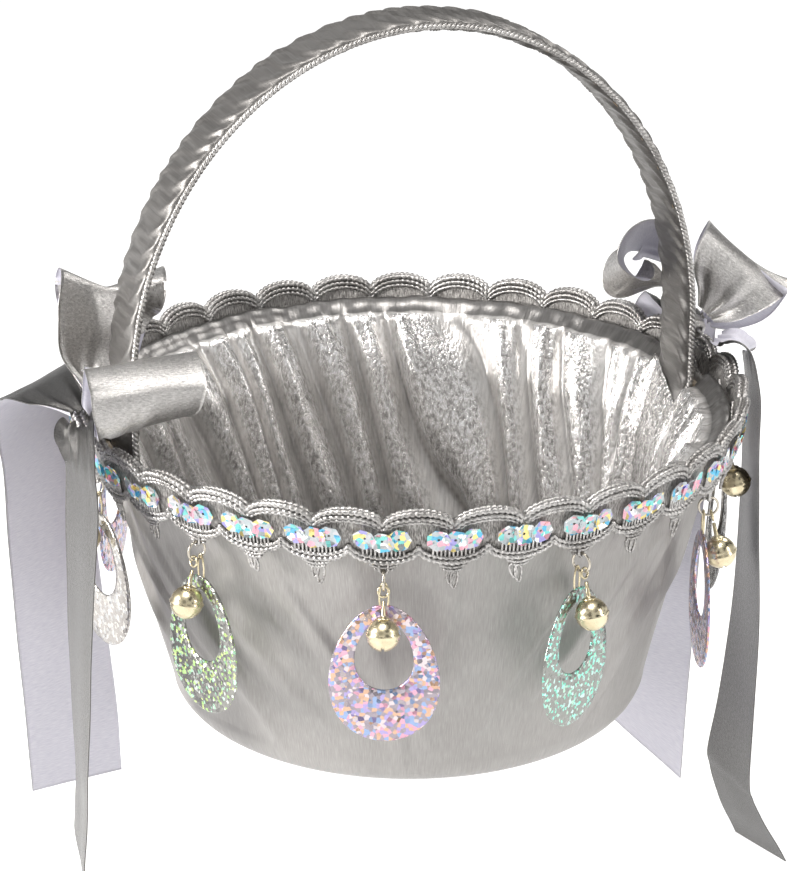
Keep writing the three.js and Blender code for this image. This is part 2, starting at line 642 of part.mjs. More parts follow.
// A ribbon is a list of key frames: the middle of the ribbon, the direction of its width,
// and its width there. It is gathered narrow where it goes into a knot.
const RIBBONS = {
  left_bow_back_loop: [
    [[-107, -33.4, 127], [0.55, 0.83, 0], 9],
    [[-107.5, -27, 135], [0.75, 0.66, 0], 26],
    [[-104.5, -24.5, 147], [0.78, 0.62, 0], 36],
    [[-101.5, -18, 157], [0.78, 0.62, 0], 38],
    [[-102.5, -9, 152], [0.78, 0.62, 0], 38],
    [[-106, -12, 139], [0.78, 0.62, 0], 34],
    [[-108, -21, 130.5], [0.75, 0.66, 0], 22],
    [[-107.6, -32, 124], [0.55, 0.83, 0], 9],
  ],
  left_bow_front_loop: [
    [[-103.5, -52.8, 125.5], [0.95, 0.3, 0.1], 9],
    [[-98.5, -60, 133.5], [0.93, 0.3, 0.15], 23],
    [[-91.5, -63, 144.5], [0.93, 0.3, 0.1], 36],
    [[-87.5, -72, 150], [0.93, 0.34, 0.06], 38],
    [[-84.5, -84, 145], [0.93, 0.34, 0.06], 38],
    [[-86, -84, 134], [0.91, 0.38, 0.12], 35],
    [[-92.3, -74, 127], [0.9, 0.4, 0.12], 22],
    [[-101, -56, 122.3], [0.95, 0.3, 0.1], 9],
  ],
  left_bow_back_tail: [
    [[-111, -40.6, 120.6], [0.45, 0.89, 0.05], 9],
    [[-117, -30, 122.6], [0.5, 0.85, 0.12], 26],
    [[-124, -14, 122.4], [0.55, 0.82, 0.12], 36],
    [[-129.8, 0, 116], [0.6, 0.8, 0.05], 38],
    [[-131.2, 6, 102], [0.64, 0.77, 0], 38],
    [[-129.5, 10, 84], [0.68, 0.73, 0], 38],
    [[-128.5, 13, 55], [0.72, 0.69, 0], 38],
    [[-126.5, 15, 20], [0.77, 0.64, 0], 38],
    [[-124, 15, -16], [0.81, 0.58, 0], 38],
    [[-122.5, 15, -47], [0.81, 0.58, 0.08], 38],
  ],
  left_bow_front_tail: [
    [[-110.6, -49, 119.2], [0.45, -0.89, 0], 9],
    [[-110.4, -57.5, 119.8], [0.42, -0.91, 0], 18],
    [[-109.3, -64.5, 113], [0.38, -0.92, 0], 30],
    [[-109, -67, 98], [0.35, -0.94, 0], 38],
    [[-111, -68, 60], [0.3, -0.95, 0], 38],
    [[-112, -68, 24], [0.23, -0.97, 0], 38],
    [[-112.8, -68, -12], [0.19, -0.98, 0], 38],
    [[-114, -68, -35], [0.19, -0.98, 0], 38],
  ],
  right_bow_back_loop: [
    [[100.5, 53.4, 126], [-0.2, 0.9, -0.38], 9],
    [[95, 61.5, 131], [-0.15, 0.9, -0.35], 20],
    [[87.5, 63, 132.5], [-0.1, 0.78, -0.58], 30],
    [[80, 62, 133], [-0.08, 0.75, -0.65], 38],
    [[78.5, 62.5, 141], [-0.08, 0.75, -0.65], 38],
    [[85, 63.5, 147], [-0.1, 0.75, -0.65], 38],
    [[94, 64.5, 144], [-0.12, 0.78, -0.6], 30],
    [[101, 61, 137], [-0.15, 0.85, -0.5], 18],
    [[102.2, 54.2, 130.4], [-0.2, 0.9, -0.38], 9],
  ],
  right_bow_front_loop: [
    [[107, 40.5, 127], [0.5, -0.6, -0.6], 9],
    [[111.5, 41, 132], [0.68, -0.3, -0.66], 21],
    [[115.5, 40.5, 138.5], [0.72, -0.12, -0.68], 32],
    [[119.5, 42.5, 144.5], [0.735, 0, -0.675], 38],
    [[121.5, 48, 146], [0.735, 0, -0.675], 38],
    [[121.5, 53, 140.5], [0.735, 0, -0.675], 38],
    [[119, 53, 131], [0.72, -0.1, -0.68], 31],
    [[114, 48.5, 125.5], [0.65, -0.3, -0.68], 17],
    [[107.6, 45, 123.4], [0.5, -0.6, -0.6], 8],
  ],
  right_bow_back_tail: [
    [[101.5, 51.5, 119.4], [-0.6, 0.8, 0], 9],
    [[102.4, 61.5, 121], [-0.8, 0.6, 0], 19],
    [[101.6, 74.5, 116.8], [-0.85, 0.53, 0], 27],
    [[99, 79.5, 106], [-0.8, 0.6, 0], 38],
    [[97, 80.5, 80], [-0.84, 0.54, 0], 38],
    [[95.1818, 79.9406, 40], [-0.84, 0.54, 0], 38],
    [[93.3636, 79.3811, 0], [-0.84, 0.54, 0], 38],
    [[91.8182, 78.9056, -34], [-0.84, 0.54, 0], 38],
    [[90.5, 78.5, -63], [-0.84, 0.54, 0], 38],
  ],
  right_bow_front_tail: [
    [[110.8, 37, 119], [0.12, -0.99, 0], 8],
    [[116.5, 31.5, 120.6], [0.1, -0.99, 0], 18],
    [[121, 27.5, 117.5], [0.06, -1, 0], 32],
    [[122.6, 26, 106], [0.04, -1, 0], 38],
    [[123, 24, 80], [0.05, -1, 0], 38],
    [[123.7, 24, 38], [0.12, -0.99, 0], 38],
    [[122.8, 24, -10], [0.2, -0.98, 0], 38],
    [[119.8, 24, -43], [0.3, -0.95, 0], 38],
    [[121, 24, -53], [0.34, -0.94, 0.04], 38],
    [[125, 23, -64], [0.38, -0.92, 0.1], 38],
    [[132.5, 21, -78], [0.4, -0.9, 0.14], 38],
  ],
};

function ribbonOutlines(frames) {
  const centres = frames.map(([centre]) => new THREE.Vector3(...centre));
  const sides = frames.map(([, side]) => new THREE.Vector3(...side));
  const widths = frames.map(([, , width]) => new THREE.Vector3(width, 0, 0));
  const curves = [centres, sides, widths].map(
    (points) => new THREE.CatmullRomCurve3(points, false, "catmullrom", 0.5),
  );
  const steps = (frames.length - 1) * RIBBON_STEPS;
  const outlines = [];
  for (let i = 0; i <= steps; i += 1) {
    const t = i / steps;
    const [centre, side, width] = curves.map((curve) => curve.getPoint(t));
    const tangent = curves[0].getTangent(t);
    side.addScaledVector(tangent, -side.dot(tangent)).normalize();
    const normal = tangent.clone().cross(side);
    const corner = (across, through) =>
      centre
        .clone()
        .addScaledVector(side, (across * width.x) / 2)
        .addScaledVector(normal, (through * RIBBON_THICKNESS) / 2);
    outlines.push([corner(1, 1), corner(-1, 1), corner(-1, -1), corner(1, -1)]);
  }
  return outlines;
}

// The knot stands on the leg's outer face, just above the braid.
const KNOT_OFFSET = HANDLE_HALF_SPAN + HANDLE_THICKNESS / 2 + 4.2;
const KNOT_HALF_DEPTH = 3.8;
const KNOT_HALF_WIDTH = 6.5;
const KNOT_HALF_HEIGHT = 4;
const KNOT_Z = 123;

function makeKnot(side) {
  const ball = new THREE.SphereGeometry(1, 10, 6);
  ball.rotateX(Math.PI / 2).scale(KNOT_HALF_DEPTH, KNOT_HALF_WIDTH, KNOT_HALF_HEIGHT);
  ball.rotateZ(HANDLE_TURN);
  const middle = ALONG.clone().multiplyScalar(side * KNOT_OFFSET).setZ(KNOT_Z);
  return closedMesh(ball.translate(middle.x, middle.y, middle.z));
}

function addBows() {
  for (const [name, frames] of Object.entries(RIBBONS)) {
    addMesh(name, loft(ribbonOutlines(frames), false, RIBBON_BACK_SIDE), RIBBON_LAME);
  }
  addMesh("left_bow_knot", makeKnot(-1), RIBBON_LAME);
  addMesh("right_bow_knot", makeKnot(1), RIBBON_LAME);
}

// ---------------------------------------------------------------- assembly

function addWall() {
  let shell = toSolid(makeShell());
  let batting = toSolid(makeBatting());
  let lining = toSolid(makeLining());
  let core = toSolid(makeCore());
  for (const side of [-1, 1]) {
    lining = lining.subtract(legCutter(side));
    for (const z of RIVET_HEIGHTS) {
      const hole = rivetCutter(side, z, RIVET_HOLE_RADIUS);
      shell = shell.subtract(hole);
      core = core.subtract(hole);
      batting = batting.subtract(rivetCutter(side, z, RIVET_HEAD_RADIUS + 0.5));
    }
  }
  addMesh("outer_cover", makeCover(), LAME);
  addMesh("wall_batting", toGeometry(batting), FOAM);
  addMesh("basket_shell", toGeometry(shell), PULP);
  addMesh("lining", toGeometry(lining), LINING_LAME);
  addMesh("handle_core", toGeometry(core), CANE);
}

function addBase() {
  const boardZ = BASE_COVER_THICKNESS + GAP;
  const padZ = SHELL_INNER_INSET + GAP;
  addMesh("base_cover", makeDisc(BASE_COVER_RADIUS, 0, BASE_COVER_THICKNESS, 0.3), LAME);
  addMesh("base_board", makeDisc(BASE_COVER_RADIUS - 1, boardZ, BASE_BOARD_THICKNESS, 0.2), PULP);
  addMesh("floor_pad", makeDisc(FLOOR_RADIUS - GAP, padZ, FLOOR_PAD_HEIGHT, 1.8), LINING_LAME);
}

function addHandle() {
  addMesh("handle_wrap", makeWrap(), LAME);
  addMesh("handle_piping", makePiping(), GIMP);
  for (const [side, word] of [
    [-1, "left"],
    [1, "right"],
  ]) {
    RIVET_HEIGHTS.forEach((z, i) => {
      addMesh(`${word}_leg_rivet_${i + 1}`, makeRivet(side, z), RING_STEEL);
    });
  }
}

addBase();
addWall();
addHandle();
addMesh("gimp_braid", makeBraid(), GIMP);
addMesh("sequin_row", makeSequinRow(), SEQUIN);
addTrims();
addBows();

export default basket;
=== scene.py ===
import json
import math

import bmesh
import bpy
import numpy as np
from mathutils import Matrix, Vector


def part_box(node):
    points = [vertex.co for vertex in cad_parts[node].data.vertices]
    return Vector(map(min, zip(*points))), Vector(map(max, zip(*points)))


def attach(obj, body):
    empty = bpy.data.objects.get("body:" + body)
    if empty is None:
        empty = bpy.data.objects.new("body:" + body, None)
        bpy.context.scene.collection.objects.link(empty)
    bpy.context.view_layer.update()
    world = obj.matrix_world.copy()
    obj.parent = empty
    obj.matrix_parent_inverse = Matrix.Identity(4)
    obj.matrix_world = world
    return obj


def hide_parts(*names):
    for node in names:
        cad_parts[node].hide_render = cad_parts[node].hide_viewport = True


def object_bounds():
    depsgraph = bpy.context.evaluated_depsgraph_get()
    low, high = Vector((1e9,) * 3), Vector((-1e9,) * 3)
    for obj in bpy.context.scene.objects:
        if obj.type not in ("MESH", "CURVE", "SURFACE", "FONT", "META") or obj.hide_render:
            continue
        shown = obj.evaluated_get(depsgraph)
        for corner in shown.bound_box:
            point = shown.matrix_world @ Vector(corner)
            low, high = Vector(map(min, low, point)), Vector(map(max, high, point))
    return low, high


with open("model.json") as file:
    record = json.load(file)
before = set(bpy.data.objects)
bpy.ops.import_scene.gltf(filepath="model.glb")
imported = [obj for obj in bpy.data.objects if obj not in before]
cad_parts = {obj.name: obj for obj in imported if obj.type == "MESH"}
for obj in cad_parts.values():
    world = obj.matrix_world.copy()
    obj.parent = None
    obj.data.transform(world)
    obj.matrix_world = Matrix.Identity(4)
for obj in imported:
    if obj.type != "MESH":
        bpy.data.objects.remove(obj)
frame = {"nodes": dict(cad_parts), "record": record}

# The looks of a flower girl basket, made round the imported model. Lengths are in millimetres
# until add_piece turns them into metres. Angles about Z start at the front (-Y) and grow
# towards +X.

cad_box = [[float(value) for value in corner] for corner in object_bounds()]

MM = 0.001
DEG = math.pi / 180
TURN = 2 * math.pi

# ------------------------------------------------------------------ driving dimensions

FLOOR_RADIUS = 73.0
CORNER_RADIUS = 12.0
WALL_BEND_Z = 84.4
WALL_BEND_RADIUS = 102.3
RIM_Z = 106.0
RIM_RADIUS = 112.0
SHELL_INNER_INSET = 4.7
BASE_COVER_RADIUS = 70.0
COVER_TOP_Z = 105.2
COVER_MEAN_RADIUS = 96.0
COVER_THICKNESS = 0.4
COVER_FOLDS = 40
FOLD_HEIGHT = 2.3
COVER_COLUMNS = 520
COVER_ROWS = 92
LINING_OUTER_INSET = 5.7
LINING_TOP_Z = 103.6
LINING_MEAN_RADIUS = 95.0
LINING_THICKNESS = 0.35
LINING_COLUMNS = 900
LINING_ROWS = 48
LINING_PLEATS = 34
FACING_HALF_WIDTH = 17.0
FACING_LOW_Z = 84.0
FACING_TOP_Z = 104.0
LEG_CLEAR_INSET = 10.6
NOTCH_HALF_WIDTH = 13.6
PAD_RADIUS = 68.5
PAD_HEIGHT = 6.6

HANDLE_TURN = 22 * DEG
HANDLE_HALF_SPAN = 104.0
HANDLE_SPRING_Z = 130.0
HANDLE_RISE = 116.0
HANDLE_WIDTH = 21.6
HANDLE_THICKNESS = 3.4
WRAP_END_Z = 80.0
WRAP_SEAMS = (188.0, 262.0, 61.0, 420.0)
PIPING_END_Z = 100.0
PIPING_PITCH = 3.4
PIPING_STRAND_RADIUS = 0.66
PIPING_OUTSET = 1.1
LEG_TO_SHELL = 3.2

SCALLOPS = 32
SCALLOPS_PER_TRIM = 3
TRIMS = 10
BRAID_TURN = -4.3 * DEG
BRAID_LEAN = 0.2126
BRAID_MIDDLE_Z = 106.0
BRAID_MIDDLE_RADIUS = 114.4
ARCH_TOP_Z = 116.8
ARCH_VALLEY_Z = 111.0
CUP_BOTTOM_Z = 96.4
CUP_SHOULDER_Z = 101.5
SEQUIN_Z = 106.6
SEQUIN_RADIUS = 3.9

RING_RADIUS = 3.3
WIRE_RADIUS = 0.45
RING_CENTRE_Z = -2.0
BELL_RADIUS = 5.5
BELL_DROP = 14.5
BELL_LEAN = 13.4 * DEG
BELL_ANGLE = 22 * DEG
EYE_RADIUS = 1.75
DROP_WIDTH = 36.0
DROP_HEIGHT = 49.0
DROP_THICKNESS = 0.8
DROP_LEAN = 0.5 * DEG
DROP_ANGLE = -28 * DEG
DROP_HOLE_WIDTH = 19.0
DROP_HOLE_HEIGHT = 25.0
DROP_HOLE_TOP = 5.4
BAIL_LENGTH = 6.5
BAIL_DEPTH = 2.4
BAIL_HALF_WIDTH = 1.5
BAIL_WIRE_RADIUS = 0.35

RIBBON_WIDTH = 38.0
RIBBON_THICKNESS = 0.36
KNOT_HALF_DEPTH = 3.7
KNOT_HALF_HEIGHT = 3.9
KNOT_HALF_LENGTH = 6.4

CAMERA_PLACE = (-5.35, -1104.55, 531.0)
CAMERA_PITCH_DOWN = 21.49 * DEG
CAMERA_LENS = 139.73
FLOOR_GLOW = 0.6
FLOOR_BELOW_BASKET = 25.0
FLOOR_HALF_SIZE = 6000.0

UP = np.array([0.0, 0.0, 1.0])
ALONG = np.array([math.cos(HANDLE_TURN), math.sin(HANDLE_TURN), 0.0])
ACROSS = np.array([math.sin(HANDLE_TURN), -math.cos(HANDLE_TURN), 0.0])

# ------------------------------------------------------------------ camera, floor and light


def make_camera():
    data = bpy.data.cameras.new("camera")
    data.lens = CAMERA_LENS
    data.sensor_width = 36.0
    camera = bpy.data.objects.new("camera", data)
    camera.location = [value * MM for value in CAMERA_PLACE]
    camera.rotation_euler = (math.pi / 2 - CAMERA_PITCH_DOWN, 0.0, 0.0)
    bpy.context.collection.objects.link(camera)
    bpy.context.scene.camera = camera


def add_area_light(name, place, target, size, power, tint=(1.0, 1.0, 1.0)):
    data = bpy.data.lights.new(name, "AREA")
    data.shape = "RECTANGLE"
    data.size, data.size_y = size
    data.energy = power
    data.color = tint
    lamp = bpy.data.objects.new(name, data)
    direction = np.array(place) - np.array(target)
    z_axis = direction / np.linalg.norm(direction)
    x_axis = np.cross(UP, z_axis)
    x_axis /= np.linalg.norm(x_axis)
    y_axis = np.cross(z_axis, x_axis)
    turn = Matrix([[x_axis[k], y_axis[k], z_axis[k], place[k]] for k in range(3)] + [[0, 0, 0, 1]])
    lamp.matrix_world = turn
    bpy.context.collection.objects.link(lamp)


# ------------------------------------------------------------------ material helpers


class Look:
    """A material with a Principled shader, and short ways to add and join its nodes."""

    def __init__(self, name, color, **values):
        self.material = bpy.data.materials.new(name)
        self.material.use_nodes = True
        self.nodes = self.material.node_tree.nodes
        self.links = self.material.node_tree.links
        self.shader = self.nodes["Principled BSDF"]
        self.shader.inputs["Base Color"].default_value = (*color, 1.0)
        for socket, value in values.items():
            self.shader.inputs[socket.replace("_", " ")].default_value = value

    def add(self, kind, settings=None, **inputs):
        node = self.nodes.new(kind)
        for key, value in (settings or {}).items():
            setattr(node, key, value)
        for key, value in inputs.items():
            socket = node.inputs[int(key[1:]) if key[0] == "i" and key[1:].isdigit() else key]
            if isinstance(value, bpy.types.NodeSocket):
                self.links.new(value, socket)
            else:
                socket.default_value = value
        return node

    def join(self, output, socket):
        self.links.new(output, self.shader.inputs[socket])

    def cloth_coordinates(self, scale):
        """The cloth's own u and v, in centimetres, each times its scale."""
        source = self.add("ShaderNodeUVMap", {"uv_map": "cloth"}).outputs["UV"]
        return self.scaled(source, scale)

    def object_coordinates(self, scale):
        source = self.add("ShaderNodeTexCoord").outputs["Object"]
        return self.scaled(source, scale)

    def scaled(self, source, scale):
        return self.add("ShaderNodeMapping", Vector=source, Scale=scale).outputs["Vector"]

    def noise(self, vector, scale=1.0, detail=2.0, rough=0.5):
        node = self.add("ShaderNodeTexNoise", Vector=vector, Scale=scale, Detail=detail)
        node.inputs["Roughness"].default_value = rough
        return node.outputs["Fac"]

    def ramp(self, factor, *stops):
        node = self.add("ShaderNodeValToRGB", Fac=factor)
        elements = node.color_ramp.elements
        while len(elements) < len(stops):
            elements.new(0.5)
        for element, (place, color) in zip(elements, stops):
            element.position = place
            element.color = (*color, 1.0) if len(color) == 3 else color
        return node.outputs["Color"]

    def grey_ramp(self, factor, *stops):
        """Each stop is (place, value) or (place, value, warmth)."""
        return self.ramp(factor, *((place, grey(*value)) for place, *value in stops))

    def mix(self, factor, first, second, blend="MIX"):
        node = self.nodes.new("ShaderNodeMix")
        node.data_type = "RGBA"
        node.blend_type = blend
        sockets = (node.inputs[0], node.inputs[6], node.inputs[7])
        for socket, value in zip(sockets, (factor, first, second)):
            if isinstance(value, bpy.types.NodeSocket):
                self.links.new(value, socket)
            elif socket.name == "Factor":
                socket.default_value = value
            else:
                socket.default_value = (*value, 1.0)
        return node.outputs[2]

    def math(self, operation, first, second=0.0):
        node = self.add("ShaderNodeMath", {"operation": operation}, i0=first, i1=second)
        return node.outputs[0]

    def vector_math(self, operation, **inputs):
        return self.add("ShaderNodeVectorMath", {"operation": operation}, **inputs).outputs[0]

    def bump(self, *layers):
        """Each layer is (height, strength, depth in metres)."""
        normal = None
        for height, strength, depth in layers:
            node = self.add("ShaderNodeBump", Height=height, Strength=strength, Distance=depth)
            if normal is not None:
                self.links.new(normal, node.inputs["Normal"])
            normal = node.outputs["Normal"]
        self.join(normal, "Normal")


def grey(value, warmth=0.0):
    return (value * (1 + warmth), value, value * (1 - warmth))


# ------------------------------------------------------------------ materials


def outer_lame_look(name, level, metallic):
    """Silver lame with long fine threads that run down the cloth."""
    look = Look(name, grey(level), Metallic=metallic, Roughness=0.4)
    threads = look.noise(look.cloth_coordinates((26.0, 1.6, 1.0)), 1.0, 3.0, 0.6)
    slubs = look.noise(look.cloth_coordinates((7.0, 0.5, 1.0)), 1.0, 2.0)
    patches = look.noise(look.cloth_coordinates((0.6, 0.5, 1.0)), 1.0, 2.0)
    base = look.grey_ramp(
        threads, (0.25, level * 0.75, 0.04), (0.55, level, 0.035), (0.8, level * 1.3, 0.03)
    )
    tint = look.grey_ramp(patches, (0.35, level * 0.8, 0.04), (0.65, level * 1.15, 0.03))
    look.join(look.mix(0.2, base, tint), "Base Color")
    look.join(look.grey_ramp(slubs, (0.3, 0.34), (0.7, 0.5)), "Roughness")
    look.bump((threads, 0.35, 0.00025), (slubs, 0.2, 0.0004))
    return look.material


def lining_look():
    """Tissue lame: satin in the valleys of its pleats and crimped on the crests, with glitter
    painted on the crests as a highlight and painted shade darkening the valleys and the turned-over
    roll.
    """
    look = Look("lining_lame", grey(0.8), Metallic=0.8, Roughness=0.3)
    crest = look.add("ShaderNodeAttribute", {"attribute_name": "crest"}).outputs["Fac"]
    strokes = look.noise(look.object_coordinates((900.0, 900.0, 420.0)), 1.0, 2.0, 0.7)
    satin = look.noise(look.cloth_coordinates((9.0, 1.2, 1.0)), 1.0, 2.0, 0.5)
    glitter = look.grey_ramp(strokes, (0.36, 0.42, 0.03), (0.52, 0.8, 0.02), (0.66, 1.0))
    plain = look.grey_ramp(satin, (0.3, 0.58, 0.03), (0.7, 0.82, 0.025))
    # Painted highlight: glitter on the pleats' crests. Painted shade: the multiply below darkens
    # the valleys and the roll.
    bright = look.grey_ramp(crest, (0.25, 0.0), (0.8, 1.0))
    shade = look.grey_ramp(crest, (0.0, 0.2), (0.05, 0.52), (0.28, 0.95))
    look.join(look.mix(1.0, look.mix(bright, plain, glitter), shade, "MULTIPLY"), "Base Color")
    look.join(look.grey_ramp(crest, (0.2, 0.34), (0.9, 0.24)), "Roughness")
    rough = look.math("MULTIPLY", strokes, look.math("MAXIMUM", crest, 0.15))
    look.bump((satin, 0.15, 0.0006), (rough, 0.7, 0.0007))
    return look.material


def ribbon_face_look(name, level):
    """The metallic face of the ribbon, with a fine grain across its length."""
    look = Look(name, grey(level), Metallic=0.95, Roughness=0.3)
    ribs = look.noise(look.cloth_coordinates((16.0, 6.0, 1.0)), 1.0, 3.0, 0.7)
    grain = look.noise(look.cloth_coordinates((30.0, 30.0, 1.0)), 1.0, 2.0, 0.7)
    base = look.grey_ramp(
        ribs, (0.25, level * 0.6, 0.03), (0.5, level, 0.025), (0.8, level * 1.5, 0.02)
    )
    look.join(base, "Base Color")
    look.join(look.grey_ramp(grain, (0.3, 0.24), (0.7, 0.4)), "Roughness")
    look.bump((ribs, 0.5, 0.0005), (grain, 0.4, 0.0002))
    return look.material


def ribbon_back_look():
    look = Look("ribbon_back", (0.62, 0.61, 0.68), Roughness=0.55, Sheen_Weight=0.25)
    threads = look.noise(look.cloth_coordinates((40.0, 3.0, 1.0)), 1.0, 2.0)
    base = look.ramp(threads, (0.3, (0.56, 0.55, 0.63)), (0.7, (0.68, 0.67, 0.73)))
    look.join(base, "Base Color")
    look.bump((threads, 0.25, 0.0001))
    return look.material


def cord_look(name, dark, light):
    """Metal-wrapped yarn, speckled bright and dark in its colour as painted glints and painted
    shade of its turns, over broader zones of tone.
    """
    look = Look(name, grey(0.45), Metallic=0.95, Roughness=0.3)
    place = look.object_coordinates((1.0, 1.0, 1.0))
    glints = look.noise(place, 900.0, 3.0, 0.7)
    zones = look.noise(place, 60.0, 2.0)
    middle = (dark + light) / 2
    base = look.grey_ramp(glints, (0.3, dark, 0.04), (0.5, middle, 0.04), (0.72, light, 0.03))
    tint = look.grey_ramp(zones, (0.35, dark), (0.65, light))
    look.join(look.mix(0.3, base, tint), "Base Color")
    look.join(look.grey_ramp(glints, (0.3, 0.5), (0.7, 0.22)), "Roughness")
    look.bump((glints, 0.6, 0.0004))
    return look.material


def braid_ground_look():
    """The net of threads behind the cords; its dark tone is painted shade in the gaps between the
    cords.
    """
    look = Look("braid_ground", grey(0.2), Metallic=0.8, Roughness=0.45)
    threads = look.noise(look.cloth_coordinates((22.0, 4.0, 1.0)), 1.0, 3.0, 0.7)
    base = look.grey_ramp(threads, (0.35, 0.12, 0.05), (0.5, 0.34, 0.04), (0.68, 0.7, 0.03))
    look.join(base, "Base Color")
    look.bump((threads, 0.9, 0.0008))
    return look.material


def flake_look(name, ground, flakes, size, glow, tilt, share):
    """Hologram flakes: each small cell takes one of a few colours and its own tilt, and the
    coloured cells glow a little as painted sparkle.
    """
    look = Look(name, ground, Metallic=0.8, Roughness=0.25, Coat_Weight=0.2, Coat_Roughness=0.08)
    place = look.object_coordinates((1.0, 1.0, 1.0))
    cells = look.add("ShaderNodeTexVoronoi", Vector=place, Scale=1000.0 / size, Randomness=0.85)
    split = look.add("ShaderNodeSeparateColor", Color=cells.outputs["Color"])
    stops = [(index / len(flakes), color) for index, color in enumerate(flakes)]
    hue = look.ramp(split.outputs["Red"], *stops)
    look.nodes[-1].color_ramp.interpolation = "CONSTANT"
    lit = look.math("GREATER_THAN", split.outputs["Green"], 1 - share)
    base = look.mix(lit, ground, hue)
    look.join(base, "Base Color")
    # Emission here is painted sparkle: the coloured flakes glow though no lamp is there.
    look.join(base, "Emission Color")
    look.join(look.math("MULTIPLY", lit, glow), "Emission Strength")
    normal = look.add("ShaderNodeNewGeometry").outputs["Normal"]
    centred = look.vector_math("SUBTRACT", i0=cells.outputs["Color"], i1=(0.5, 0.5, 0.5))
    scaled = look.vector_math("SCALE", i0=centred, Scale=tilt)
    tilted = look.vector_math("ADD", i0=normal, i1=scaled)
    look.join(look.vector_math("NORMALIZE", i0=tilted), "Normal")
    return look.material


def metal_look(name, light, dark, rough):
    """Plated metal with faint smudges and fine wear."""
    look = Look(name, light, Metallic=1.0, Roughness=rough)
    place = look.object_coordinates((1.0, 1.0, 1.0))
    smudge = look.noise(place, 260.0, 3.0)
    wear = look.noise(place, 1400.0, 2.0)
    share = look.grey_ramp(smudge, (0.35, 0.0), (0.75, 0.6))
    look.join(look.mix(share, light, dark), "Base Color")
    look.join(look.grey_ramp(smudge, (0.3, rough * 0.7), (0.7, rough * 1.5)), "Roughness")
    look.bump((wear, 0.12, 0.0001))
    return look.material


def plain_fibre_look(name, light, dark, scale):
    """Rough board, wadding or cane: streaked, matt and slightly bumpy."""
    look = Look(name, light, Roughness=0.85)
    fibres = look.noise(look.object_coordinates(scale), 1.0, 4.0, 0.65)
    look.join(look.ramp(fibres, (0.3, dark), (0.7, light)), "Base Color")
    look.bump((fibres, 0.5, 0.0006))
    return look.material


def floor_look():
    look = Look("floor_paper", grey(0.6), Roughness=0.9)
    cloud = look.noise(look.object_coordinates((1.0, 1.0, 1.0)), 2.0, 2.0)
    look.join(look.grey_ramp(cloud, (0.3, 0.58), (0.7, 0.62)), "Base Color")
    look.shader.inputs["Emission Color"].default_value = (1.0, 1.0, 1.0, 1.0)
    look.shader.inputs["Emission Strength"].default_value = FLOOR_GLOW
    return look.material


# ------------------------------------------------------------------ mesh helpers


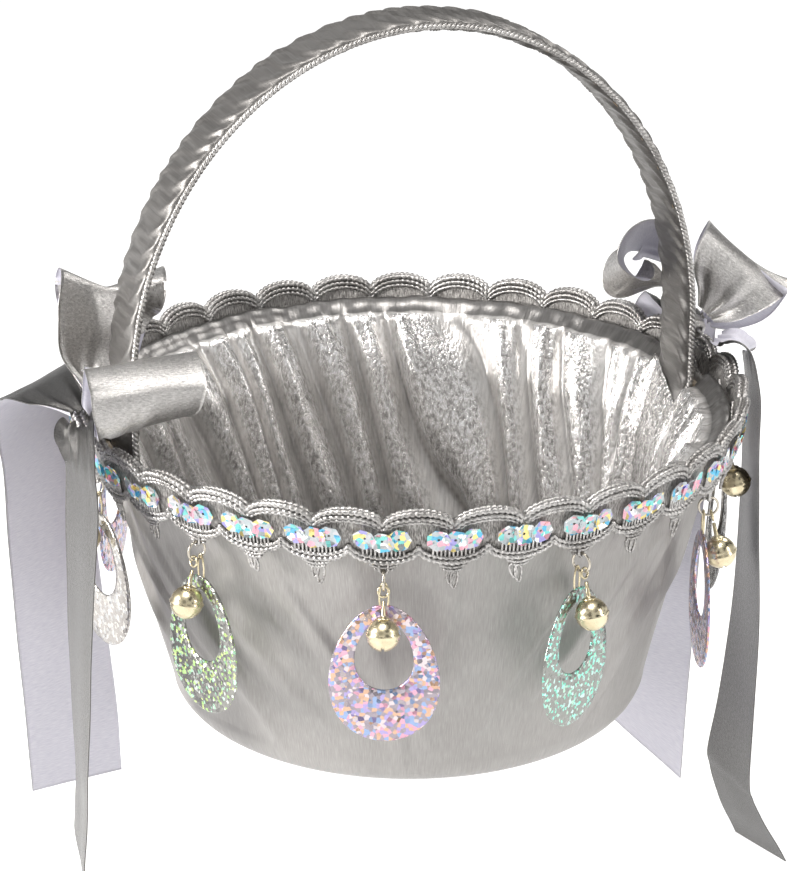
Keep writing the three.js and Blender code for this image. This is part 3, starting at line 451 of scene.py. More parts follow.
class Solid:
    """Collects points, faces, cloth coordinates and material numbers for one piece."""

    def __init__(self):
        self.points = []
        self.faces = []
        self.corners = []
        self.numbers = []
        self.count = 0

    def add(self, points, faces, corners=None, number=0):
        points = np.asarray(points, float).reshape(-1, 3)
        if corners is None:
            corners = np.zeros((sum(len(face) for face in faces), 2))
        self.points.append(points)
        self.faces.extend((np.asarray(face) + self.count).tolist() for face in faces)
        self.corners.append(np.asarray(corners, float).reshape(-1, 2))
        self.numbers.extend([number] * len(faces))
        self.count += len(points)

    def add_faces(self, faces):
        """Faces between points that are there already, without cloth coordinates."""
        self.faces.extend(faces)
        self.corners.append(np.zeros((sum(len(face) for face in faces), 2)))
        self.numbers.extend([0] * len(faces))

    def add_grid(
        self, points, wrap_rows=False, wrap_columns=False, spans=(1.0, 1.0), number=0, flip=False
    ):
        """points is rows x columns x 3; spans are the lengths along rows and columns, in cm."""
        rows, columns = points.shape[:2]
        row = np.arange(rows if wrap_rows else rows - 1)
        column = np.arange(columns if wrap_columns else columns - 1)
        r, c = (part.ravel() for part in np.meshgrid(row, column, indexing="ij"))
        order = [(0, 0), (1, 0), (1, 1), (0, 1)]
        if flip:
            order.reverse()
        faces = np.stack([((r + a) % rows) * columns + (c + b) % columns for a, b in order], axis=1)
        u = [(r + a) * spans[0] / len(row) for a, _ in order]
        v = [(c + b) * spans[1] / len(column) for _, b in order]
        corners = np.stack([np.stack(u, axis=1), np.stack(v, axis=1)], axis=2)
        self.add(points, faces, corners, number)

    def add_tube(self, path, radius, sides, reference, closed=False, twist=None):
        """A tube along path. twist is a function of distance and angle that scales the radius."""
        path = np.asarray(path, float)
        tangent = np.roll(path, -1, 0) - np.roll(path, 1, 0)
        if not closed:
            tangent[0] = path[1] - path[0]
            tangent[-1] = path[-1] - path[-2]
        tangent = unit_rows(tangent)
        side = unit_rows(np.cross(tangent, np.broadcast_to(reference, path.shape)))
        over = np.cross(side, tangent)
        angle = full_turn(sides)
        size = np.broadcast_to(np.asarray(radius, float).reshape(-1, 1), (len(path), sides)).copy()
        if twist is not None:
            step = np.linalg.norm(np.roll(path, -1, 0) - path, axis=1)
            distance = np.concatenate([[0.0], np.cumsum(step)[:-1]])
            total = step.sum() if closed else distance[-1]
            size = size * twist(distance[:, None], angle[None, :], total)
        ring = (
            path[:, None, :]
            + size[:, :, None] * np.cos(angle)[None, :, None] * side[:, None, :]
            + size[:, :, None] * np.sin(angle)[None, :, None] * over[:, None, :]
        )
        start = self.count
        self.add_grid(ring, wrap_rows=closed, wrap_columns=True)
        if not closed:
            first = [start + k for k in range(sides)]
            last = [start + (len(path) - 1) * sides + k for k in range(sides)]
            self.add_faces([first, last[::-1]])

    def add_lathe(self, profile, sides):
        """A closed solid of revolution about Z; profile runs from axis to axis."""
        profile = np.asarray(profile, float)
        angle = full_turn(sides)
        inner = profile[1:-1]
        x = inner[None, :, 0] * np.cos(angle)[:, None]
        y = inner[None, :, 0] * np.sin(angle)[:, None]
        ring = np.stack([x, y, np.broadcast_to(inner[None, :, 1], x.shape)], axis=2)
        ends = np.array([[0, 0, profile[0, 1]], [0, 0, profile[-1, 1]]])
        start = self.count
        columns = len(inner)
        self.add_grid(ring, wrap_rows=True)
        self.points.append(ends)
        low, high = self.count, self.count + 1
        self.count += 2
        fans = []
        for k in range(sides):
            near = start + k * columns
            far = start + ((k + 1) % sides) * columns
            fans += [[low, far, near], [high, near + columns - 1, far + columns - 1]]
        self.add_faces(fans)


def unit_rows(vectors):
    return vectors / np.maximum(np.linalg.norm(vectors, axis=-1, keepdims=True), 1e-9)


def make_mesh(name, solid, materials):
    mesh = bpy.data.meshes.new(name)
    points = np.concatenate(solid.points) * MM
    mesh.from_pydata(points.tolist(), [], solid.faces)
    layer = mesh.uv_layers.new(name="cloth")
    layer.data.foreach_set("uv", np.concatenate(solid.corners).ravel())
    for material in materials:
        mesh.materials.append(material)
    mesh.polygons.foreach_set("material_index", solid.numbers)
    mesh.polygons.foreach_set("use_smooth", [True] * len(mesh.polygons))
    mesh.update()
    return mesh


def add_piece(name, mesh, body="root", replaced=()):
    piece = bpy.data.objects.new(name, mesh)
    bpy.context.collection.objects.link(piece)
    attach(piece, body)
    if replaced:
        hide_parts(*replaced)
    return piece


def apply_modifiers(piece):
    bpy.context.view_layer.update()
    graph = bpy.context.evaluated_depsgraph_get()
    mesh = bpy.data.meshes.new_from_object(piece.evaluated_get(graph), depsgraph=graph)
    piece.modifiers.clear()
    piece.data = mesh
    return piece


def thicken(mesh, thickness, offset):
    """The mesh of a thin surface given a thickness in millimetres and closed along its edges."""
    carrier = bpy.data.objects.new("thicken", mesh)
    bpy.context.collection.objects.link(carrier)
    modifier = carrier.modifiers.new("thickness", "SOLIDIFY")
    modifier.thickness = thickness * MM
    modifier.offset = offset
    modifier.use_even_offset = False
    apply_modifiers(carrier)
    result = carrier.data
    bpy.data.objects.remove(carrier)
    return result


def ripples(first, second, seed, scale, count=9):
    """Smooth random waves over two coordinates, between about -1 and 1."""
    rng = np.random.RandomState(seed)
    total = np.zeros(np.broadcast(first, second).shape)
    for _ in range(count):
        direction = rng.uniform(0, math.pi)
        pace = TURN / (scale * rng.uniform(0.7, 1.5))
        phase = rng.uniform(0, TURN)
        total += np.sin(pace * (first * math.cos(direction) + second * math.sin(direction)) + phase)
    return total / math.sqrt(count) * 0.8


def full_turn(count):
    return np.arange(count) * TURN / count


def smooth_step(value, low, high):
    share = np.clip((value - low) / (high - low), 0.0, 1.0)
    return share * share * (3 - 2 * share)


def round_about(angle, radius, z):
    parts = np.broadcast_arrays(radius * np.sin(angle), -radius * np.cos(angle), z)
    return np.stack(parts, axis=-1)


# ------------------------------------------------------------------ basket wall


def wall_radius(z):
    low = FLOOR_RADIUS + CORNER_RADIUS
    below = low + (WALL_BEND_RADIUS - low) * (z - CORNER_RADIUS) / (WALL_BEND_Z - CORNER_RADIUS)
    share = (z - WALL_BEND_Z) / (RIM_Z - WALL_BEND_Z)
    above = WALL_BEND_RADIUS + (RIM_RADIUS - WALL_BEND_RADIUS) * share
    return np.where(z <= WALL_BEND_Z, below, above)


def wall_profile(inset, low_radius, top_z, rows):
    """Radius, height and outward direction at even steps up the wall, from the base's edge."""
    bend = CORNER_RADIUS - inset
    turn = np.linspace(0, math.pi / 2, 13)
    corner_radius = FLOOR_RADIUS + bend * np.sin(turn)
    corner = np.stack([corner_radius, CORNER_RADIUS - bend * np.cos(turn)], axis=1)
    rise = np.linspace(CORNER_RADIUS + 2, top_z, 60)
    wall = np.stack([wall_radius(rise) - inset, rise], axis=1)
    line = np.concatenate([[[low_radius, inset]], corner, wall])
    for _ in range(3):
        line[14:-1] = (line[13:-2] + 2 * line[14:-1] + line[15:]) / 4
    step = np.concatenate([[0.0], np.cumsum(np.linalg.norm(np.diff(line, axis=0), axis=1))])
    even = np.linspace(0, step[-1], rows)
    radius = np.interp(even, step, line[:, 0])
    height = np.interp(even, step, line[:, 1])
    slope = np.stack([np.gradient(radius), np.gradient(height)], axis=1)
    slope = unit_rows(slope)
    return radius, height, slope[:, 1], -slope[:, 0], step[-1]


def cover_folds(angle, height):
    """How far the stretched cloth stands out: slanting folds that fan to the sides."""
    rng = np.random.RandomState(11)
    total = np.zeros(np.broadcast(angle, height).shape)
    drop = (RIM_Z - height) / RIM_Z
    for k in range(COVER_FOLDS):
        start = (k + rng.uniform(-0.4, 0.4)) * TURN / COVER_FOLDS - math.pi
        sideness = abs(math.sin(start))
        slant = -math.sin(start) * rng.uniform(42, 66) * DEG + rng.uniform(-6, 6) * DEG
        width = rng.uniform(3.2, 7.5)
        size = rng.uniform(1.2, 3.0) * (0.3 + 0.8 * sideness)
        first = rng.uniform(0.0, 0.3)
        last = first + rng.uniform(0.45, 0.8)
        bow = rng.uniform(-0.06, 0.06)
        line = start + slant * drop + bow * np.sin(math.pi * drop)
        across = ((angle - line + math.pi) % TURN - math.pi) * COVER_MEAN_RADIUS / width
        fade = smooth_step(drop, first, first + 0.2) * (1 - smooth_step(drop, last - 0.3, last))
        # a crest with a steep side and a long slope
        spread = np.where(across > 0, 0.55, 1.7)
        total += size * fade * np.exp(-((across / spread) ** 2))
    gathers = smooth_step(height, 82.0, 100.0) * 0.35 * np.sin(angle * 150 + 3 * np.sin(angle * 23))
    slack = 0.2 * ripples(angle * COVER_MEAN_RADIUS, height * 0.5, 5, 22.0)
    return total + gathers + slack


def make_cover(material):
    angle = full_turn(COVER_COLUMNS)
    profile = wall_profile(0.2, BASE_COVER_RADIUS + 0.6, COVER_TOP_Z, COVER_ROWS)
    radius, height, out_r, out_z, length = profile
    stand = cover_folds(angle[:, None], height[None, :]) * smooth_step(height, 1.0, 14.0)[None, :]
    stand = np.clip(stand, -0.25, FOLD_HEIGHT)
    r = radius[None, :] + stand * out_r[None, :]
    z = height[None, :] + stand * out_z[None, :]
    solid = Solid()
    solid.add_grid(round_about(angle[:, None], r, z), wrap_rows=True, spans=(62.0, length / 10))
    mesh = thicken(make_mesh("outer_cover_surface", solid, [material]), COVER_THICKNESS, -1)
    piece = add_piece("outer_cover_cloth", mesh, replaced=["outer_cover"])


def make_base_cover(material):
    """The disc under the base, puckered towards its edge where it is glued."""
    angle = full_turn(240)
    radius = np.concatenate([[0.4], np.linspace(3, BASE_COVER_RADIUS - 0.4, 30)])
    edge = smooth_step(radius, 40.0, BASE_COVER_RADIUS)
    pucker = 0.16 * edge[None, :] * (1 + np.sin(angle * 62 + 2 * np.sin(angle * 9))[:, None])
    sideways = radius[None, :] * np.sin(angle)[:, None]
    forwards = radius[None, :] * np.cos(angle)[:, None]
    z = 0.35 + pucker + 0.1 * ripples(sideways, forwards, 8, 30.0)
    points = round_about(angle[:, None], radius[None, :], z)
    solid = Solid()
    solid.add_grid(points, wrap_rows=True, spans=(40.0, 7.0), flip=True)
    mesh = thicken(make_mesh("base_cover_surface", solid, [material]), 0.3, 1)
    piece = add_piece("base_cover_cloth", mesh, replaced=["base_cover"])


def leg_place(points):
    """Distance across the nearer leg, and whether the point is on a leg's side of the basket."""
    return points @ ACROSS, np.abs(points @ ALONG)


def notch_height(across, right_side):
    """The lining hides each leg below this slanting line."""
    return np.where(right_side, 103.5 - 0.42 * across, 100.0 + 0.2 * across)


def lining_height(angle, t):
    """How far the gathered lining stands in from the bowl, for t from 0 at the floor to 1."""
    drift = (1 - t) * 0.3 + 0.05 * np.sin(3 * angle + 1.0)
    drift = drift + 0.012 * ripples(angle * 40, t * 12, 3, 30.0)
    uneven = 1.5 * np.sin(5 * angle + 0.7) + 1.1 * np.sin(11 * angle + 2.1)
    phase = LINING_PLEATS * (angle + drift) + uneven
    number = np.floor(phase / TURN)
    share = phase / TURN - number
    size = 0.76 + 0.24 * np.sin(number * 2.4 + 0.6)
    crest = 0.62 + 0.12 * np.sin(number * 1.7)
    rising = np.sin(0.5 * math.pi * np.clip(share / crest, 0, 1)) ** 1.3
    falling = np.cos(0.5 * math.pi * np.clip((share - crest) / (1 - crest), 0, 1)) ** 0.9
    puff = size * np.where(share < crest, rising, falling)
    reach = 3.0 + 5.5 * smooth_step(t, 0.0, 0.35) - 3.0 * smooth_step(t, 0.84, 1.0)
    second = np.abs(np.sin(phase * 1.5 + 1.3 + 1.2 * np.sin(7 * angle))) ** 0.8
    gather = 1.3 * second * smooth_step(t, 0.72, 0.98)
    crinkle = 0.12 * ripples(angle * LINING_MEAN_RADIUS, t * 60.0, 21, 9.0, 14)
    return np.clip(reach * puff + gather + crinkle, 0.0, 8.5)


def make_lining(material):
    columns, rows = LINING_COLUMNS, LINING_ROWS
    angle = full_turn(columns)
    profile = wall_profile(LINING_OUTER_INSET, 64.0, LINING_TOP_Z, rows)
    radius, height, out_r, out_z, length = profile
    # beside each leg the top edge drops to the slanting line
    top = round_about(angle, radius[-1], LINING_TOP_Z)
    across, along = leg_place(top)
    past_leg = smooth_step(np.abs(across), NOTCH_HALF_WIDTH - 1.0, NOTCH_HALF_WIDTH + 0.5)
    at_leg = (1 - past_leg) * (along > 50)
    line = notch_height(across, top @ ALONG > 0)
    top_z = LINING_TOP_Z + (line - LINING_TOP_Z) * at_leg
    low = 60.0
    share = np.clip((height - low) / (LINING_TOP_Z - low), 0, 1)
    z_rest = height[None, :] + (top_z[:, None] - LINING_TOP_Z) * share[None, :]
    radius = np.where(share[None, :] > 0, wall_radius(z_rest) - LINING_OUTER_INSET, radius[None, :])
    t = np.clip((z_rest - 11) / (RIM_Z - 13), 0, 1)
    stand = lining_height(angle[:, None], t) * smooth_step(z_rest, 5.0, 20.0)
    rest = round_about(angle[:, None], radius, z_rest)
    across, along = leg_place(rest)
    near_leg = (1 - smooth_step(np.abs(across), 12.0, 18.0)) * (along > 50)
    covered = near_leg * smooth_step(z_rest, 26.0, 36.0)
    over_leg = LEG_CLEAR_INSET - LINING_OUTER_INSET + 0.25 * stand
    stand = stand * (1 - covered) + np.maximum(over_leg, stand) * covered
    r = radius - stand * out_r[None, :]
    z = z_rest - stand * out_z[None, :] * (1 - covered)
    # the top edge is turned over the bowl's rim in a soft roll
    roll = 0.5 * ripples(angle * 105, 0 * angle, 44, 16.0) + 0.35 * np.sin(angle * 75)
    turn_over = [(105.8, 105.2), (108.0, 107.4), (109.8, 108.9)]
    turn_over += [(111.3, 109.2), (112.0, 108.2), (111.6, 106.2)]
    rolled = [round_about(angle, bend, level + 0.6 * roll) for bend, level in turn_over]
    edge = np.stack(rolled, axis=1)
    points = np.concatenate([round_about(angle[:, None], r, z), edge], axis=1)
    solid = Solid()
    solid.add_grid(points, wrap_rows=True, spans=(74.0, length / 10), flip=True)
    grid_faces = np.array(solid.faces)
    middles = np.concatenate(solid.points)[grid_faces].mean(axis=1)
    across, along = leg_place(middles)
    turned_over = (grid_faces % (rows + len(turn_over))).max(axis=1) >= rows
    keep = np.flatnonzero(~(turned_over & (np.abs(across) < NOTCH_HALF_WIDTH) & (along > 50)))
    corners = np.concatenate(solid.corners).reshape(-1, 4, 2)
    solid.faces = [solid.faces[index] for index in keep]
    solid.corners = [corners[keep].reshape(-1, 2)]
    solid.numbers = [0] * len(keep)
    surface = make_mesh("lining_surface", solid, [material])
    # The crest level sets the lining's painted highlight and painted shade; the turned-over roll
    # gets a low level, so it is painted dark.
    level = np.zeros((columns, points.shape[1]))
    level[:, :rows] = 0.04 + np.clip(stand / 6.0, 0, 0.96)
    level[:, rows:] = 0.015
    layer = surface.attributes.new("crest", "FLOAT", "POINT")
    layer.data.foreach_set("value", level.ravel())
    mesh = thicken(surface, LINING_THICKNESS, -1)
    drop_loose_points(mesh)
    piece = add_piece("lining_cloth", mesh, replaced=["lining"])


def drop_loose_points(mesh):
    shape = bmesh.new()
    shape.from_mesh(mesh)
    loose = [vertex for vertex in shape.verts if not vertex.link_faces]
    bmesh.ops.delete(shape, geom=loose, context="VERTS")
    shape.to_mesh(mesh)
    shape.free()


def make_leg_facing(side, material):
    """The lining behind one leg, seen through the slit that the leg comes out of."""
    across = np.linspace(-FACING_HALF_WIDTH, FACING_HALF_WIDTH, 50)
    height = np.linspace(FACING_LOW_Z, FACING_TOP_Z, 24)
    inset = 5.15 + 0.2 * (1 + np.sin(across * 1.4))[:, None]
    radius = wall_radius(height)[None, :] - inset - 0.25
    along = side * np.sqrt(np.maximum(radius**2 - across[:, None] ** 2, 1.0))
    points = along[:, :, None] * ALONG + across[:, None, None] * ACROSS + height[None, :, None] * UP
    solid = Solid()
    solid.add_grid(points, spans=(3.4, 2.0), flip=side > 0)
    mesh = thicken(make_mesh("leg_facing_surface", solid, [material]), 0.25, 1)
    name = "right_leg_facing" if side > 0 else "left_leg_facing"
    piece = add_piece(name, mesh)


def make_floor_pad(material):
    """The padded floor: a flat disc blown up by cloth simulation, then puckered at its edge."""
    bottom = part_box("floor_pad")[0][2] / MM
    solid = Solid()
    low = bottom + 0.9
    high = low + 2.6
    edge = PAD_RADIUS - 1
    profile = [(0, low), (edge, low), (PAD_RADIUS, bottom + 1.6), (edge, high), (0, high)]
    filled = []
    for (r0, z0), (r1, z1) in zip(profile, profile[1:]):
        steps = max(1, int(abs(r1 - r0) / 4))
        filled += [(r0 + (r1 - r0) * k / steps, z0 + (z1 - z0) * k / steps) for k in range(steps)]
    solid.add_lathe(filled + [profile[-1]], 96)
    pad = bpy.data.objects.new("floor_pad_cloth", make_mesh("floor_pad_cloth", solid, [material]))
    bpy.context.collection.objects.link(pad)
    remesh = pad.modifiers.new("remesh", "REMESH")
    remesh.mode = "VOXEL"
    remesh.voxel_size = 2.0 * MM
    apply_modifiers(pad)
    start = read_points(pad.data)
    cloth = pad.modifiers.new("cloth", "CLOTH")
    cloth.settings.use_pressure = True
    cloth.settings.uniform_pressure_force = 4.0
    cloth.settings.effector_weights.gravity = 0.0
    cloth.settings.quality = 4
    for number in range(1, 16):
        bpy.context.scene.frame_set(number)
    apply_modifiers(pad)
    bpy.context.scene.frame_set(1)
    moved = read_points(pad.data) - start
    size = np.linalg.norm(moved, axis=1, keepdims=True)
    points = start + moved * np.minimum(1.0, 1.6 / np.maximum(size, 1e-6))
    radius = np.hypot(points[:, 0], points[:, 1])
    angle = np.arctan2(points[:, 1], points[:, 0])
    top = points[:, 2] > bottom + 2.2
    crown = 1.3 * (1 - (radius / 72.0) ** 2)
    pucker = 0.5 * smooth_step(radius, 38.0, 68.0) * np.sin(angle * 34 + 2 * np.sin(angle * 7))
    waves = 0.35 * ripples(points[:, 0], points[:, 1], 31, 24.0)
    points[:, 2] += np.where(top, crown + pucker + waves, 0.0)
    points[:, 2] = np.clip(points[:, 2], bottom, bottom + PAD_HEIGHT)
    pad.data.vertices.foreach_set("co", (points * MM).ravel())
    subdivision = pad.modifiers.new("smooth", "SUBSURF")
    subdivision.levels = 1
    apply_modifiers(pad)
    pad.data.polygons.foreach_set("use_smooth", [True] * len(pad.data.polygons))
    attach(pad, "root")
    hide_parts("floor_pad")


def read_points(mesh):
    points = np.empty(len(mesh.vertices) * 3)
    mesh.vertices.foreach_get("co", points)
    return points.reshape(-1, 3) / MM


# ------------------------------------------------------------------ handle


def leg_offset(z):
    return np.minimum(HANDLE_HALF_SPAN, wall_radius(z) - SHELL_INNER_INSET - LEG_TO_SHELL)


def handle_line(end_z, count):
    """Even steps along the strip's middle: offset, height, outward direction, distance."""
    leg_z = np.linspace(end_z, HANDLE_SPRING_Z, 60)
    leg = np.stack([leg_offset(leg_z), leg_z], axis=1)
    turn = np.linspace(0, math.pi, 200)[1:-1]
    arch_z = HANDLE_SPRING_Z + HANDLE_RISE * np.sin(turn)
    arch = np.stack([HANDLE_HALF_SPAN * np.cos(turn), arch_z], axis=1)
    line = np.concatenate([leg, arch, (leg * [-1, 1])[::-1]])
    step = np.concatenate([[0.0], np.cumsum(np.linalg.norm(np.diff(line, axis=0), axis=1))])
    even = np.linspace(0, step[-1], count)
    offset = np.interp(even, step, line[:, 0])
    height = np.interp(even, step, line[:, 1])
    for _ in range(6):
        offset[1:-1] = (offset[:-2] + 2 * offset[1:-1] + offset[2:]) / 4
    tangent = unit_rows(np.stack([np.gradient(offset), np.gradient(height)], axis=1))
    return offset, height, tangent[:, 1], -tangent[:, 0], even


def handle_points(line, outward, sideways):
    offset, height, out_r, out_z, _ = line
    along = offset[:, None] + out_r[:, None] * outward
    z = height[:, None] + out_z[:, None] * outward
    return along[:, :, None] * ALONG + z[:, :, None] * UP + sideways[:, :, None] * ACROSS


def wrap_folds(distance, around):
    """Slanting overlaps of the cloth wound round the strip."""
    slanted = distance + 0.9 * around
    warped = slanted + 2.2 * np.sin(slanted / 17.0) + 1.4 * np.sin(slanted / 7.3 + 1.0)
    share = (warped / 8.0) % 1.0
    ridge = np.where(share < 0.7, share / 0.7, (1 - share) / 0.3) ** 1.4
    second = (warped / 4.4 + 0.3) % 1.0
    fine = np.exp(-((second - 0.5) * 6) ** 2)
    seams = np.zeros_like(slanted)
    for place in WRAP_SEAMS:
        delta = slanted - place
        seams += 0.55 * np.exp(-np.clip(delta, 0, None) / 6.0) * (delta > 0)
    return 1.0 * ridge + 0.16 * fine + seams


def make_handle_wrap(material):
    line = handle_line(WRAP_END_Z, 620)
    corners = 44
    turn = full_turn(corners)
    outward = HANDLE_THICKNESS / 2 * np.sign(np.sin(turn)) * np.abs(np.sin(turn)) ** 0.75
    sideways = HANDLE_WIDTH / 2 * np.sign(np.cos(turn)) * np.abs(np.cos(turn)) ** 0.42
    stand = wrap_folds(line[4][:, None], sideways[None, :]) * np.abs(np.sin(turn))[None, :] ** 0.5
    stand = np.clip(stand, -0.15, 1.2)
    points = handle_points(
        line,
        outward[None, :] + stand * np.sign(np.sin(turn))[None, :],
        np.broadcast_to(sideways[None, :], stand.shape),
    )
    solid = Solid()
    solid.add_grid(points, wrap_columns=True, spans=(line[4][-1] / 10, 5.0))
    mesh = make_mesh("handle_wrap_surface", solid, [material])
    flip_if_inside_out(mesh)
    mesh = thicken(mesh, 0.25, -1)
    piece = add_piece("handle_wrap_cloth", mesh, replaced=["handle_wrap"])


def flip_if_inside_out(mesh):
    shape = bmesh.new()
    shape.from_mesh(mesh)
    if shape.calc_volume(signed=True) < 0:
        bmesh.ops.reverse_faces(shape, faces=shape.faces)
    shape.to_mesh(mesh)
    shape.free()


def make_handle_piping(material):
    """Two strands twisted round each other along the handle's front edge."""
    line = handle_line(PIPING_END_Z, 2200)
    spin = line[4] * TURN / PIPING_PITCH
    solid = Solid()
    for phase in (0.0, math.pi):
        outward = 0.5 * np.cos(spin + phase)
        sideways = HANDLE_WIDTH / 2 + PIPING_OUTSET + 0.5 * np.sin(spin + phase)
        path = handle_points(line, outward[:, None], sideways[:, None])[:, 0, :]
        solid.add_tube(path, PIPING_STRAND_RADIUS, 7, ACROSS)
    mesh = make_mesh("handle_piping_cord", solid, [material])
    add_piece("handle_piping_cord", mesh, replaced=["handle_piping"])


# ------------------------------------------------------------------ gimp braid


def braid_point(angle, z, outward):
    lean = math.hypot(1, BRAID_LEAN)
    radius = BRAID_MIDDLE_RADIUS + BRAID_LEAN * (z - BRAID_MIDDLE_Z) + outward / lean
    return round_about(angle, radius, z - outward * BRAID_LEAN / lean)


def scallop_share(angle):
    """0 in the middle of a scallop, 1 between two scallops."""
    place = (angle - BRAID_TURN) * SCALLOPS / TURN
    return 2 * np.abs(place - np.round(place))


def arch_z(share):
    rise = np.sqrt(np.maximum(0, 1 - (1 - share) ** 2))
    return ARCH_VALLEY_Z + (ARCH_TOP_Z - ARCH_VALLEY_Z) * rise


def cup_z(share):
    fall = np.sqrt(np.maximum(0, 1 - share**2))
    return CUP_SHOULDER_Z + (CUP_BOTTOM_Z - CUP_SHOULDER_Z) * fall


def twisted(pitch, depth=0.4):
    """Scales a tube's radius so that a groove winds along it, as in a laid cord."""

    def scale(distance, angle, total):
        turns = 2 * max(1, round(total / (2 * pitch)))
        phase = distance * math.pi * turns / total
        return 1 - depth + 1.5 * depth * np.abs(np.sin(phase + angle / 2))

    return scale


def add_braid_cord(solid, height, outward, radius):
    angle = full_turn(SCALLOPS * 72)
    share = scallop_share(angle)
    path = braid_point(angle, height(share), outward(share))
    solid.add_tube(path, radius, 7, path * [1, 1, 0], closed=True, twist=twisted(1.9))


def add_scallop_arc(solid, middle, half_width, low_z, rise, outward, radius):
    """A short cord that sags between two points of one scallop."""
    share = np.linspace(-1, 1, 26)
    angle = middle + share * half_width / BRAID_MIDDLE_RADIUS
    path = braid_point(angle, low_z + rise * share**2, outward)
    solid.add_tube(path, radius, 6, path * [1, 1, 0], twist=twisted(1.3))


def add_picot(solid, middle, top_z, length, lean):
    """A small hanging loop of cord."""
    turn = np.linspace(0.12, TURN - 0.12, 30)
    across = 1.15 * np.sin(turn) * (1 - 0.25 * np.cos(turn))
    drop = length / 2 * (1 - np.cos(turn))
    angle = middle + (across + lean * drop) / BRAID_MIDDLE_RADIUS
    path = braid_point(angle, top_z - length + drop, 0.3)
    solid.add_tube(path, 0.5, 6, path[0] * [1, 1, 0], twist=twisted(1.1))


def make_braid(cord, ground):
    # cords on the face and on the back, each a height line, a distance outwards and a radius
    face_lines = [
        (lambda s: arch_z(s) - 0.8, lambda s: 0.9 + 0.5 * s, 0.95),
        (lambda s: arch_z(s) - 2.7, lambda s: 1.2 + 0.3 * s, 0.8),
        (lambda s: arch_z(s) - 4.3, lambda s: 0.9 + 0.0 * s, 0.7),
        (lambda s: cup_z(s) + 0.7, lambda s: 1.2 - 0.4 * s, 0.9),
        (lambda s: cup_z(s) + 2.4, lambda s: 1.0 - 0.2 * s, 0.75),
    ]
    back_lines = [
        (lambda s: arch_z(s) - 1.2, lambda s: -1.0 + 0.0 * s, 0.85),
        (lambda s: arch_z(s) - 2.9, lambda s: -1.1 + 0.0 * s, 0.75),
        (lambda s: arch_z(s) - 4.5, lambda s: -1.0 + 0.0 * s, 0.7),
        (lambda s: cup_z(s) + 6.6, lambda s: -1.0 + 0.0 * s, 0.8),
    ]
    for part, lines in (("face", face_lines), ("back", back_lines)):
        solid = Solid()
        for height, outward, radius in lines:
            add_braid_cord(solid, height, outward, radius)
        mesh = make_mesh(f"gimp_braid_{part}_cords", solid, [cord])
        add_piece(f"gimp_braid_{part}_cords", mesh, replaced=["gimp_braid"])
    solid = Solid()
    angle = full_turn(SCALLOPS * 24)
    share = scallop_share(angle)
    low = cup_z(share) + 0.9
    high = arch_z(share) - 0.9
    rows = np.linspace(0, 1, 7)
    z = low[:, None] + (high - low)[:, None] * rows
    front = braid_point(angle[:, None], z, 0.35)
    back = braid_point(angle[:, None], z[:, ::-1], -0.65)
    band = np.concatenate([front, back], axis=1)
    solid.add_grid(band, wrap_rows=True, wrap_columns=True, spans=(72.0, 4.0), number=1)
    rng = np.random.RandomState(4)
    for index in range(SCALLOPS):
        middle = BRAID_TURN + index * TURN / SCALLOPS
        for tooth in np.linspace(-6.6, 6.6, 11):
            at = middle + tooth / BRAID_MIDDLE_RADIUS
            low_z = float(cup_z(abs(tooth) / 11.3)) + 2.4
            ends = np.linspace(low_z, 104.2, 5)
            path = braid_point(at, ends, 1.05)
            solid.add_tube(path, 0.42, 6, np.cross(path[0], UP))
        add_scallop_arc(solid, middle, 4.6, CUP_BOTTOM_Z - 1.4, 1.3, 0.7, 0.62)
        add_scallop_arc(solid, middle, 3.2, CUP_BOTTOM_Z - 2.7, 0.9, 0.6, 0.58)
        number = (index + SCALLOPS // 2) % SCALLOPS - SCALLOPS // 2
        if number % SCALLOPS_PER_TRIM == 0 and -12 <= number <= 15:
            continue
        # a scallop without a trim has a long picot and a short one
        for shift, drop, lengths, leans in (
            (0.6, 2.6, (5.6, 7.6), (-0.25, 0.25)),
            (-0.9, 2.2, (4.0, 5.6), (-0.3, 0.2)),
        ):
            at = middle + shift / BRAID_MIDDLE_RADIUS
            length = rng.uniform(*lengths)
            add_picot(solid, at, CUP_BOTTOM_Z - drop, length, rng.uniform(*leans))
    for place in trim_places():
        turn = full_turn(28)
        loop = np.stack([1.5 * np.sin(turn), 0 * turn, 2.5 - 2.5 * np.cos(turn)], axis=1)
        outwards = direction(place, (0, 1.0, 0))
        solid.add_tube(place(loop), 0.5, 6, outwards, closed=True, twist=twisted(1.2))
    mesh = make_mesh("gimp_braid_net", solid, [cord, ground])
    add_piece("gimp_braid_net", mesh, replaced=["gimp_braid"])


